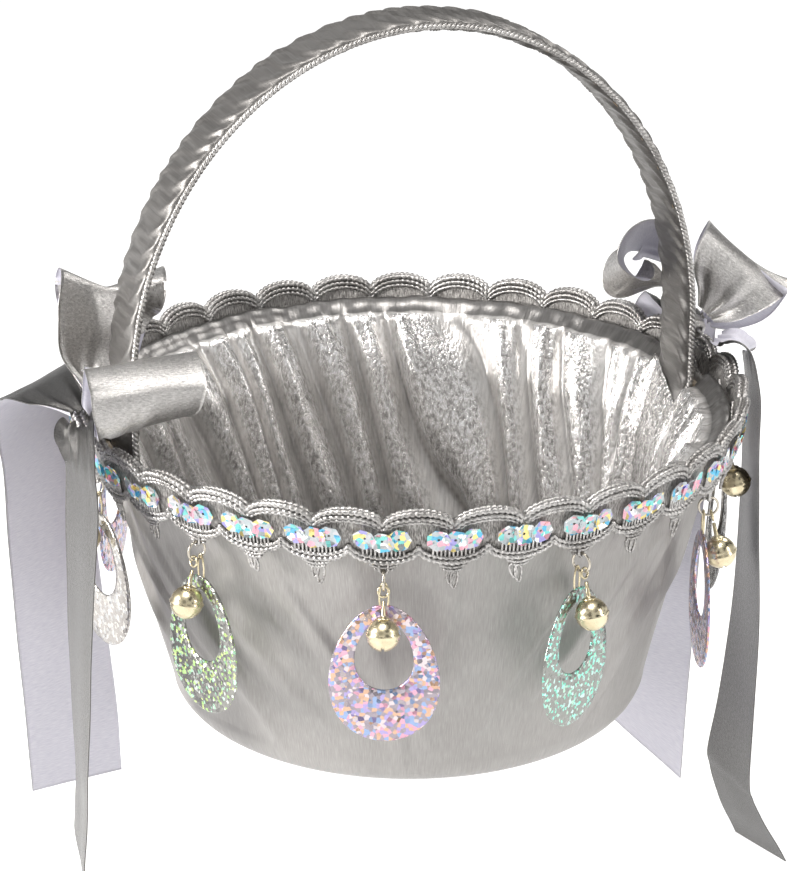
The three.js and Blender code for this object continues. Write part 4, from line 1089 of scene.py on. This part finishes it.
def make_sequins(material):
    """Cupped sequins, three to a scallop, each lapped over the next."""
    rng = np.random.RandomState(9)
    solid = Solid()
    sides = 14
    turn = full_turn(sides)
    facets = 1 + 0.05 * np.cos(turn * 7)
    cup = [(0.45, 0.0), (1.7, 0.05), (2.9, 0.4), (SEQUIN_RADIUS, 0.75)]
    profile = cup + [(radius, lift + 0.12) for radius, lift in reversed(cup)]
    for index in range(SCALLOPS):
        middle = BRAID_TURN + index * TURN / SCALLOPS
        for spot, shift in enumerate((-5.3, 0.0, 5.3)):
            at = middle + (shift + rng.uniform(-0.4, 0.4)) / BRAID_MIDDLE_RADIUS
            centre_z = SEQUIN_Z - (0.5 if spot == 1 else -0.1) + rng.uniform(-0.3, 0.3)
            centre = braid_point(at, centre_z, 1.75 + 0.25 * (spot == 1))
            out = unit_rows(braid_point(at, centre_z, 2.0) - braid_point(at, centre_z, 1.0))
            swing = rng.uniform(-0.1, 0.1) + (spot - 1) * 0.16
            east = np.array([math.cos(at), math.sin(at), 0.0])
            face = unit_rows(out + swing * east + rng.uniform(-0.12, 0.12) * UP)
            right = unit_rows(np.cross(UP, face))
            top = np.cross(face, right)
            round_edge = np.cos(turn)[:, None] * right + np.sin(turn)[:, None] * top
            rings = [
                centre + radius * facets[:, None] * round_edge + lift * face
                for radius, lift in profile
            ]
            solid.add_grid(np.stack(rings, axis=1), wrap_rows=True, wrap_columns=True)
    mesh = make_mesh("sequins", solid, [material])
    mesh.polygons.foreach_set("use_smooth", [False] * len(mesh.polygons))
    add_piece("sequins", mesh, replaced=["sequin_row"])


# ------------------------------------------------------------------ hanging trims


def trim_places():
    """For each trim, a function from its own frame (X sideways, Y outwards) to the basket's."""
    joints = {joint["name"]: joint for joint in frame["record"]["behaviour"]["joints"]}
    places = []
    for index in range(1, TRIMS + 1):
        joint = joints[f"ring_swing_{index}"]
        pivot = np.array(joint["pos_m"]) / MM
        sideways = np.array(joint["axis"])
        outwards = np.cross(UP, sideways)
        axes = np.stack([sideways, outwards, UP])
        places.append(lambda points, axes=axes, pivot=pivot: np.asarray(points) @ axes + pivot)
    return places


def direction(place, vector):
    """A direction in a trim's own frame, turned into the basket's."""
    return place([vector])[0] - place([(0, 0, 0)])[0]


def wire_point(angle):
    y = RING_RADIUS * np.sin(angle)
    return np.stack([0 * y, y, RING_CENTRE_Z - RING_RADIUS * np.cos(angle)], axis=-1)


def about_x(points, angle):
    """Turned about X by the right-hand rule."""
    x, y, z = np.moveaxis(np.asarray(points, float), -1, 0)
    cosine, sine = math.cos(angle), math.sin(angle)
    return np.stack([x, y * cosine - z * sine, y * sine + z * cosine], axis=-1)


def make_jump_ring(index, place, material):
    name = f"jump_ring_{index}"
    path = place(wire_point(full_turn(48)))
    solid = Solid()
    solid.add_tube(path, WIRE_RADIUS, 12, direction(place, (1.0, 0, 0)), closed=True)
    mesh = make_mesh(f"{name}_wire", solid, [material])
    add_piece(f"{name}_wire", mesh, f"trim_{index}_ring", [name])


def capped(profile):
    """The profile with its first and last points moved onto the axis."""
    return [(0.0, profile[0][1])] + profile[1:-1] + [(0.0, profile[-1][1])]


def half_circle(radius, centre_z, steps):
    """Points from the bottom to the top of a ball, for a lathe."""
    turns = np.linspace(-math.pi / 2, math.pi / 2, steps)
    return [(radius * math.cos(turn), centre_z + radius * math.sin(turn)) for turn in turns]


def bell_template():
    """One jingle bell about its own centre: a spun shell with a seam and a slotted bottom."""
    solid = Solid()
    outer = []
    for radius, z in half_circle(BELL_RADIUS, 0.0, 33):
        seam = 0.32 * math.exp(-((z / 0.42) ** 2))
        crease = -0.16 * math.exp(-(((abs(z) - 0.95) / 0.3) ** 2))
        outer.append((radius * (1 + (seam + crease) / BELL_RADIUS), z))
    inner = half_circle(BELL_RADIUS - 0.5, 0.0, 17)[::-1]
    shell = Solid()
    shell.add_lathe(capped(outer), 40)
    shell.add_lathe(capped(inner), 40)
    body = bpy.data.objects.new("bell_body", make_mesh("bell_body", shell, []))
    slot = Solid()
    slot.add(*box_points((-4.1, 4.1), (-0.5, 0.5), (-7.0, -1.6)))
    slot.add(*box_points((-0.5, 0.5), (-4.1, 4.1), (-7.0, -1.6)))
    cutter = bpy.data.objects.new("bell_slot", make_mesh("bell_slot", slot, []))
    for item in (body, cutter):
        bpy.context.collection.objects.link(item)
    cut = body.modifiers.new("slot", "BOOLEAN")
    cut.operation = "DIFFERENCE"
    cut.solver = "EXACT"
    cut.use_self = True
    cut.object = cutter
    apply_modifiers(body)
    points = read_points(body.data)
    faces = [list(polygon.vertices) for polygon in body.data.polygons]
    bpy.data.objects.remove(body)
    bpy.data.objects.remove(cutter)
    solid.add(points, faces)
    # the cap on top of the bell, and its stem
    cap = [(0, 5.2), (2.1, 5.1), (2.3, 5.35), (1.9, 5.7), (1.0, 5.95), (0.75, 6.6)]
    solid.add_lathe(cap + [(0.6, 11.0), (0, 11.1)], 20)
    turn = full_turn(28)
    eye_z = BELL_DROP - EYE_RADIUS + 1.35
    eye = np.stack([EYE_RADIUS * np.sin(turn), 0 * turn, eye_z - EYE_RADIUS * np.cos(turn)], axis=1)
    solid.add_tube(eye, 0.4, 8, [0, 1.0, 0], closed=True)
    solid.add_lathe(capped(half_circle(1.5, -3.3, 9)), 14)
    return solid


def box_points(xs, ys, zs):
    points = [(x, y, z) for x in xs for y in ys for z in zs]
    faces = [[0, 1, 3, 2], [4, 6, 7, 5], [0, 4, 5, 1], [2, 3, 7, 6], [0, 2, 6, 4], [1, 5, 7, 3]]
    return points, faces


def make_bell(index, place, template, material):
    points = np.concatenate(template.points) - [0, 0, BELL_DROP]
    points = place(about_x(points, BELL_LEAN) + wire_point(BELL_ANGLE))
    solid = Solid()
    solid.add(points, template.faces)
    mesh = make_mesh(f"bell_{index}_body", solid, [material])
    flip_if_inside_out(mesh)
    add_piece(f"bell_{index}_body", mesh, f"trim_{index}_bell", [f"bell_{index}"])


def egg_outline(width, height, top_z, turn):
    fullness = 0.16
    x = width / 2 * np.sin(turn) * (1 - fullness * np.cos(turn))
    return x, top_z - height / 2 * (1 - np.cos(turn))


def make_drop(index, place, material, wire_material):
    turn = full_turn(96)
    outer = egg_outline(DROP_WIDTH, DROP_HEIGHT, -BAIL_LENGTH, turn)
    hole = egg_outline(DROP_HOLE_WIDTH, DROP_HOLE_HEIGHT, -BAIL_LENGTH - DROP_HOLE_TOP, turn)
    half = DROP_THICKNESS / 2
    flat = [(share, half) for share in (0.02, 0.25, 0.5, 0.75, 0.98)]
    section = [(0.0, half * 0.4), *flat, (1.0, half * 0.4)]
    section += [(share, -depth) for share, depth in reversed(section)]
    rings = []
    for share, depth in section:
        x = outer[0] + (hole[0] - outer[0]) * share
        z = outer[1] + (hole[1] - outer[1]) * share
        rings.append(np.stack([x, np.full_like(x, depth), z], axis=1))
    shift = wire_point(DROP_ANGLE)
    points = place(about_x(np.stack(rings, axis=1), -DROP_LEAN) + shift)
    solid = Solid()
    solid.add_grid(points, wrap_rows=True, wrap_columns=True)
    mesh = make_mesh(f"drop_{index}_plate", solid, [material])
    flip_if_inside_out(mesh)
    add_piece(f"drop_{index}_plate", mesh, f"trim_{index}_drop", [f"drop_{index}"])
    top = WIRE_RADIUS + BAIL_WIRE_RADIUS + 0.5
    low = -BAIL_LENGTH - BAIL_DEPTH
    turn = full_turn(32)
    height = (top + low) / 2 + (top - low) / 2 * np.cos(turn)
    loop = np.stack([BAIL_HALF_WIDTH * np.sin(turn), 0 * turn, height], axis=1)
    path = place(about_x(loop, -DROP_LEAN) + shift)
    wire = Solid()
    wire.add_tube(path, BAIL_WIRE_RADIUS, 8, direction(place, (0, 1.0, 0)), closed=True)
    mesh = make_mesh(f"drop_{index}_bail", wire, [wire_material])
    add_piece(f"drop_{index}_bail", mesh, f"trim_{index}_drop")


# ------------------------------------------------------------------ ribbons

# For each ribbon: the side that its silver face looks to (None means away from the loop's
# middle), how far its end is cut slantwise, and its key frames as in the frame model: middle,
# direction of the width, and width.
RIBBONS = {
    "left_bow_back_loop": [
        ((-107, -33.4, 127), (0.55, 0.83, 0), 9),
        ((-107.5, -27, 135), (0.75, 0.66, 0), 26),
        ((-104.5, -24.5, 147), (0.78, 0.62, 0), 36),
        ((-101.5, -18, 157), (0.78, 0.62, 0), 38),
        ((-102.5, -9, 152), (0.78, 0.62, 0), 38),
        ((-106, -12, 139), (0.78, 0.62, 0), 34),
        ((-108, -21, 130.5), (0.75, 0.66, 0), 22),
        ((-107.6, -32, 124), (0.55, 0.83, 0), 9),
    ],
    "left_bow_front_loop": [
        ((-103.5, -52.8, 125.5), (0.95, 0.3, 0.1), 9),
        ((-98.5, -60, 133.5), (0.93, 0.3, 0.15), 23),
        ((-91.5, -63, 144.5), (0.93, 0.3, 0.1), 36),
        ((-87.5, -72, 150), (0.93, 0.34, 0.06), 38),
        ((-84.5, -84, 145), (0.93, 0.34, 0.06), 38),
        ((-86, -84, 134), (0.91, 0.38, 0.12), 35),
        ((-92.3, -74, 127), (0.9, 0.4, 0.12), 22),
        ((-101, -56, 122.3), (0.95, 0.3, 0.1), 9),
    ],
    "left_bow_back_tail": [
        ((-111, -40.6, 120.6), (0.45, 0.89, 0.05), 9),
        ((-117, -30, 122.6), (0.5, 0.85, 0.12), 26),
        ((-124, -14, 122.4), (0.55, 0.82, 0.12), 36),
        ((-129.8, 0, 116), (0.6, 0.8, 0.05), 38),
        ((-131.2, 6, 102), (0.64, 0.77, 0), 38),
        ((-129.5, 10, 84), (0.68, 0.73, 0), 38),
        ((-128.5, 13, 55), (0.72, 0.69, 0), 38),
        ((-126.5, 15, 20), (0.77, 0.64, 0), 38),
        ((-124, 15, -16), (0.81, 0.58, 0), 38),
        ((-122.5, 15, -47), (0.81, 0.58, 0.08), 38),
    ],
    "left_bow_front_tail": [
        ((-110.6, -49, 119.2), (0.45, -0.89, 0), 9),
        ((-110.4, -57.5, 119.8), (0.42, -0.91, 0), 18),
        ((-109.3, -64.5, 113), (0.38, -0.92, 0), 30),
        ((-109, -67, 98), (0.35, -0.94, 0), 38),
        ((-111, -68, 60), (0.3, -0.95, 0), 38),
        ((-112, -68, 24), (0.23, -0.97, 0), 38),
        ((-112.8, -68, -12), (0.19, -0.98, 0), 38),
        ((-114, -68, -35), (0.19, -0.98, 0), 38),
    ],
    "right_bow_back_loop": [
        ((100.5, 53.4, 126), (-0.2, 0.9, -0.38), 9),
        ((95, 61.5, 131), (-0.15, 0.9, -0.35), 20),
        ((87.5, 63, 132.5), (-0.1, 0.78, -0.58), 30),
        ((80, 62, 133), (-0.08, 0.75, -0.65), 38),
        ((78.5, 62.5, 141), (-0.08, 0.75, -0.65), 38),
        ((85, 63.5, 147), (-0.1, 0.75, -0.65), 38),
        ((94, 64.5, 144), (-0.12, 0.78, -0.6), 30),
        ((101, 61, 137), (-0.15, 0.85, -0.5), 18),
        ((102.2, 54.2, 130.4), (-0.2, 0.9, -0.38), 9),
    ],
    "right_bow_front_loop": [
        ((107, 40.5, 127), (0.5, -0.6, -0.6), 9),
        ((111.5, 41, 132), (0.68, -0.3, -0.66), 21),
        ((115.5, 40.5, 138.5), (0.72, -0.12, -0.68), 32),
        ((119.5, 42.5, 144.5), (0.735, 0, -0.675), 38),
        ((121.5, 48, 146), (0.735, 0, -0.675), 38),
        ((121.5, 53, 140.5), (0.735, 0, -0.675), 38),
        ((119, 53, 131), (0.72, -0.1, -0.68), 31),
        ((114, 48.5, 125.5), (0.65, -0.3, -0.68), 17),
        ((107.6, 45, 123.4), (0.5, -0.6, -0.6), 8),
    ],
    "right_bow_back_tail": [
        ((101.5, 51.5, 119.4), (-0.6, 0.8, 0), 9),
        ((102.4, 61.5, 121), (-0.8, 0.6, 0), 19),
        ((101.6, 74.5, 116.8), (-0.85, 0.53, 0), 27),
        ((99, 79.5, 106), (-0.8, 0.6, 0), 38),
        ((97, 80.5, 80), (-0.84, 0.54, 0), 38),
        ((95.2, 79.9, 40), (-0.84, 0.54, 0), 38),
        ((93.4, 79.4, 0), (-0.84, 0.54, 0), 38),
        ((91.8, 78.9, -34), (-0.84, 0.54, 0), 38),
        ((90.5, 78.5, -63), (-0.84, 0.54, 0), 38),
    ],
    "right_bow_front_tail": [
        ((110.8, 37, 119), (0.12, -0.99, 0), 8),
        ((116.5, 31.5, 120.6), (0.1, -0.99, 0), 18),
        ((121, 27.5, 117.5), (0.06, -1, 0), 32),
        ((122.6, 26, 106), (0.04, -1, 0), 38),
        ((123, 24, 80), (0.05, -1, 0), 38),
        ((123.7, 24, 38), (0.12, -0.99, 0), 38),
        ((122.8, 24, -10), (0.2, -0.98, 0), 38),
        ((119.8, 24, -43), (0.3, -0.95, 0), 38),
        ((121, 24, -53), (0.34, -0.94, 0.04), 38),
        ((125, 23, -64), (0.38, -0.92, 0.1), 38),
        ((132.5, 21, -78), (0.4, -0.9, 0.14), 38),
    ],
}

RIBBON_FACES = {
    "left_bow_back_loop": (None, 0.0),
    "left_bow_front_loop": (None, 0.0),
    "left_bow_back_tail": ((-0.7, 0.7, 0.0), 2.0),
    "left_bow_front_tail": ((-0.94, -0.35, 0.0), 3.0),
    "right_bow_back_loop": (None, 0.0),
    "right_bow_front_loop": (None, 0.0),
    "right_bow_back_tail": ((0.54, 0.84, 0.0), -10.0),
    "right_bow_front_tail": ((-1.0, -0.1, 0.0), 3.0),
}


def catmull_rom(keys, count):
    """Even parameter steps along a uniform Catmull-Rom curve through the keys."""
    keys = np.asarray(keys, float)
    padded_keys = np.concatenate([[2 * keys[0] - keys[1]], keys, [2 * keys[-1] - keys[-2]]])
    t = np.linspace(0, len(keys) - 1, count)
    span = np.minimum(t.astype(int), len(keys) - 2)
    f = (t - span)[:, None]
    p0, p1, p2, p3 = (padded_keys[span + k] for k in range(4))
    square = 2 * p0 - 5 * p1 + 4 * p2 - p3
    cube = 3 * p1 - p0 - 3 * p2 + p3
    return 0.5 * (2 * p1 + (p2 - p0) * f + square * f**2 + cube * f**3)


def make_ribbon(name, keys, face_side, cut, materials):
    rows = 26 * (len(keys) - 1)
    columns = 33
    centre = catmull_rom([key[0] for key in keys], rows)
    side = catmull_rom([key[1] for key in keys], rows)
    width = catmull_rom([[key[2]] for key in keys], rows)[:, 0]
    tangent = unit_rows(np.gradient(centre, axis=0))
    side = unit_rows(side - (side * tangent).sum(axis=1, keepdims=True) * tangent)
    normal = np.cross(tangent, side)
    length = np.linalg.norm(np.diff(centre, axis=0), axis=1).sum()
    distance = np.linspace(0, length, rows)
    share = np.linspace(-1, 1, columns)
    # the gathered part is pleated, and the open part has a slow wave
    gathered = np.clip(1 - width / RIBBON_WIDTH, 0, 1)
    seed = sum(ord(letter) for letter in name)
    rng = np.random.RandomState(seed)
    pleats = np.sin(share * math.pi * 3.5 + rng.uniform(0, TURN)) + 0.4 * np.sin(share * 17 + 1)
    depth = 1.05 * gathered[:, None] ** 0.8 * pleats[None, :]
    restless = 0.75 if name.endswith("loop") else 0.35
    wave = restless * ripples(distance[:, None], share[None, :] * 19, seed, 34.0)
    ease = smooth_step(distance, 0.0, 14.0)[:, None]
    depth = depth + wave * ease
    near_end = smooth_step(distance, length - 30.0, length)
    slide = cut * near_end[:, None] * share[None, :]
    spots = (
        centre[:, None, :]
        + side[:, None, :] * (share[None, :] * width[:, None] / 2)[:, :, None]
        + normal[:, None, :] * depth[:, :, None]
        + tangent[:, None, :] * slide[:, :, None]
    )
    if face_side is None:
        outside = ((centre - centre.mean(axis=0)) * normal).sum()
    else:
        outside = (normal @ np.array(face_side)).sum()
    direction = 1.0 if outside > 0 else -1.0
    half = RIBBON_THICKNESS / 2 * direction
    face = spots + normal[:, None, :] * half
    back = spots - normal[:, None, :] * half
    solid = Solid()
    spans = (length / 10, RIBBON_WIDTH / 10)
    flip = direction > 0
    solid.add_grid(face, spans=spans, number=0, flip=flip)
    solid.add_grid(back, spans=spans, number=1, flip=not flip)
    grid = np.arange(rows * columns).reshape(rows, columns)
    rim = np.concatenate([grid[0, :], grid[1:, -1], grid[-1, -2::-1], grid[-2:0:-1, 0]])
    rim_back = rim + rows * columns
    quads = np.stack([rim, np.roll(rim, -1), np.roll(rim_back, -1), rim_back], axis=1)
    if not flip:
        quads = quads[:, ::-1]
    solid.add_faces(quads.tolist())
    mesh = make_mesh(f"{name}_ribbon", solid, materials)
    flip_if_inside_out(mesh)
    piece = add_piece(f"{name}_ribbon", mesh, replaced=[name])


def make_knot(side_word, material):
    """A short width of ribbon drawn round the gathered loops and tails."""
    low, high = (np.array(corner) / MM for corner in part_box(f"{side_word}_bow_knot"))
    centre = (low + high) / 2
    rows, columns = 60, 28
    around = full_turn(rows)
    share = np.linspace(-1, 1, columns)
    bulge = np.sqrt(np.maximum(0.0, 1 - (share * 0.985) ** 2)) ** 0.7
    creases = 1 + 0.06 * np.cos(share * 15 + 0.8) + 0.03 * np.cos(share * 31)
    wobble = 1 + 0.04 * np.sin(3 * around + 0.5)[:, None]
    radial = (bulge * creases)[None, :] * wobble
    depth = KNOT_HALF_DEPTH * radial * np.cos(around)[:, None]
    height = KNOT_HALF_HEIGHT * radial * np.sin(around)[:, None]
    sideways = KNOT_HALF_LENGTH * share[None, :, None] * ACROSS
    points = centre + depth[:, :, None] * ALONG + height[:, :, None] * UP + sideways
    solid = Solid()
    solid.add_grid(points, wrap_rows=True, spans=(2.6, 1.4))
    for column, reverse in ((0, False), (columns - 1, True)):
        cap = [row * columns + column for row in range(rows)]
        solid.add_faces([cap[::-1] if reverse else cap])
    knot = f"{side_word}_bow_knot"
    mesh = make_mesh(f"{knot}_wrap", solid, [material])
    flip_if_inside_out(mesh)
    add_piece(f"{knot}_wrap", mesh, replaced=[knot])


# ------------------------------------------------------------------ floor, world and hidden nodes

def make_stage():
    level = cad_box[0][2] / MM - FLOOR_BELOW_BASKET
    solid = Solid()
    signs = ((-1, -1), (1, -1), (1, 1), (-1, 1))
    corners = [(x * FLOOR_HALF_SIZE, y * FLOOR_HALF_SIZE, level) for x, y in signs]
    solid.add(corners, [[0, 1, 2, 3]])
    floor = bpy.data.objects.new("floor", make_mesh("floor", solid, [floor_look()]))
    bpy.context.collection.objects.link(floor)


def make_world():
    """A soft studio: bright panels laid out by noise, with darker gaps between them."""
    world = bpy.data.worlds.new("studio")
    bpy.context.scene.world = world
    world.use_nodes = True
    nodes, links = world.node_tree.nodes, world.node_tree.links
    background = nodes["Background"]
    place = nodes.new("ShaderNodeTexCoord")
    panels = nodes.new("ShaderNodeTexNoise")
    panels.inputs["Scale"].default_value = 2.4
    panels.inputs["Detail"].default_value = 0.0
    ramp = nodes.new("ShaderNodeValToRGB")
    ramp.color_ramp.elements[0].position = 0.42
    ramp.color_ramp.elements[0].color = (0.05, 0.05, 0.05, 1.0)
    ramp.color_ramp.elements[1].position = 0.58
    ramp.color_ramp.elements[1].color = (1.0, 1.0, 1.0, 1.0)
    links.new(place.outputs["Generated"], panels.inputs["Vector"])
    links.new(panels.outputs["Fac"], ramp.inputs["Fac"])
    links.new(ramp.outputs["Color"], background.inputs["Color"])
    background.inputs["Strength"].default_value = 0.7


def finish_hidden_nodes():
    fibres = {
        "pulp_board": ((0.5, 0.43, 0.33), (0.36, 0.3, 0.22), (260.0, 260.0, 120.0)),
        "wadding": ((0.86, 0.85, 0.82), (0.7, 0.69, 0.66), (300.0, 300.0, 300.0)),
        "cane_strip": ((0.62, 0.47, 0.29), (0.42, 0.28, 0.15), (700.0, 700.0, 40.0)),
    }
    board, wadding, cane = (plain_fibre_look(name, *values) for name, values in fibres.items())
    rivet = metal_look("rivet_metal", (0.52, 0.5, 0.46), (0.35, 0.33, 0.3), 0.3)
    looks = {
        "base_board": board,
        "basket_shell": board,
        "wall_batting": wadding,
        "handle_core": cane,
    }
    for side_word in ("left", "right"):
        for number in (1, 2):
            looks[f"{side_word}_leg_rivet_{number}"] = rivet
    for name, look in looks.items():
        for material_slot in frame["nodes"][name].material_slots:
            material_slot.material = look


# ------------------------------------------------------------------ everything

# The flake colours of the drops and the sequins. A drop that DROP_LOOKS doesn't name is pink.
PINK_FLAKES = (
    (0.66, 0.36, 0.46),
    (0.4, 0.34, 0.6),
    (0.64, 0.42, 0.3),
    (0.3, 0.4, 0.62),
    (0.66, 0.58, 0.6),
    (0.36, 0.32, 0.36),
)
GREEN_FLAKES = ((0.55, 0.9, 0.3), (0.75, 0.92, 0.35), (0.5, 0.85, 0.6), (0.8, 0.85, 0.8))
TEAL_FLAKES = ((0.25, 0.8, 0.6), (0.35, 0.85, 0.72), (0.6, 0.85, 0.8), (0.45, 0.75, 0.6))
GREY_FLAKES = ((0.62, 0.6, 0.56), (0.72, 0.7, 0.66), (0.5, 0.5, 0.5))
DROP_LOOKS = {3: "grey", 4: "green", 5: "pink", 6: "teal", 8: "grey"}
SEQUIN_FLAKES = (
    (0.12, 0.42, 0.62),
    (0.8, 0.82, 0.82),
    (0.2, 0.58, 0.55),
    (0.72, 0.38, 0.45),
    (0.78, 0.64, 0.25),
    (0.34, 0.32, 0.62),
    (0.5, 0.5, 0.52),
)


def main():
    bpy.context.scene.view_settings.view_transform = "Standard"
    make_camera()
    make_world()
    make_stage()
    outer = outer_lame_look("outer_lame", 0.35, 0.25)
    # The handle's wrap is the same lame as the cover, in a darker copy: painted shade.
    shaded_handle_lame = outer_lame_look("handle_lame", 0.21, 0.8)
    lining = lining_look()
    # Loops and knots take the lit copy of the ribbon's silver; the tails take a darker copy,
    # painted shade for the dark surroundings they reflect.
    silver = ribbon_face_look("ribbon_silver", 0.5)
    shaded_tail_silver = ribbon_face_look("ribbon_tail_silver", 0.13)
    back = ribbon_back_look()
    gimp = cord_look("metallic_cord", 0.1, 0.75)
    piping = cord_look("piping_cord", 0.25, 0.7)
    brass = metal_look("bell_gold", (0.76, 0.68, 0.48), (0.48, 0.4, 0.24), 0.24)
    nickel = metal_look("ring_metal", (0.62, 0.58, 0.5), (0.4, 0.36, 0.3), 0.22)
    # Each entry: ground colour, flake colours, flake size in millimetres, painted glow of the
    # flakes, tilt, share of coloured flakes.
    glitters = {
        "pink": ((0.36, 0.32, 0.36), PINK_FLAKES, 1.35, 0.03, 0.55, 0.8),
        "green": ((0.28, 0.28, 0.26), GREEN_FLAKES, 1.0, 0.1, 0.5, 0.3),
        "teal": ((0.3, 0.31, 0.29), TEAL_FLAKES, 1.0, 0.1, 0.5, 0.3),
        "grey": ((0.4, 0.38, 0.36), GREY_FLAKES, 1.2, 0.0, 0.4, 0.5),
    }
    drops = {}
    for colour, values in glitters.items():
        drops[colour] = flake_look(f"drop_glitter_{colour}", *values)
    # The sequins' flakes also glow a little: painted sparkle.
    sequin = flake_look("sequin_hologram", (0.45, 0.5, 0.52), SEQUIN_FLAKES, 1.8, 0.12, 0.5, 0.75)
    make_cover(outer)
    make_base_cover(outer)
    make_lining(lining)
    # The leg facings and the floor pad carry no crest attribute, so the lining look gives them its
    # darkest painted shade.
    for side in (-1, 1):
        make_leg_facing(side, lining)
    make_floor_pad(lining)
    make_handle_wrap(shaded_handle_lame)
    make_handle_piping(piping)
    make_braid(gimp, braid_ground_look())
    make_sequins(sequin)
    template = bell_template()
    for index, place in enumerate(trim_places(), start=1):
        make_jump_ring(index, place, nickel)
        make_bell(index, place, template, brass)
        make_drop(index, place, drops[DROP_LOOKS.get(index, "pink")], brass)
    for side_word in ("left", "right"):
        make_knot(side_word, silver)
    for name, keys in RIBBONS.items():
        face = silver if name.endswith("loop") else shaded_tail_silver
        make_ribbon(name, keys, *RIBBON_FACES[name], [face, back])
    finish_hidden_nodes()
    warm = (1.0, 0.975, 0.95)
    add_area_light("key", (-1.4, -0.45, 0.6), (0, 0, 0.08), (0.4, 0.8), 30.0, warm)
    add_area_light("side", (1.3, -0.5, 0.6), (0, 0, 0.08), (0.25, 0.9), 5.0, warm)
    add_area_light("top", (-0.1, -0.35, 1.4), (0, 0, 0.1), (0.6, 0.6), 14.0, warm)
    add_area_light("rear", (0.7, 0.9, 1.2), (0, 0, 0.1), (0.4, 0.4), 5.0, warm)


main()
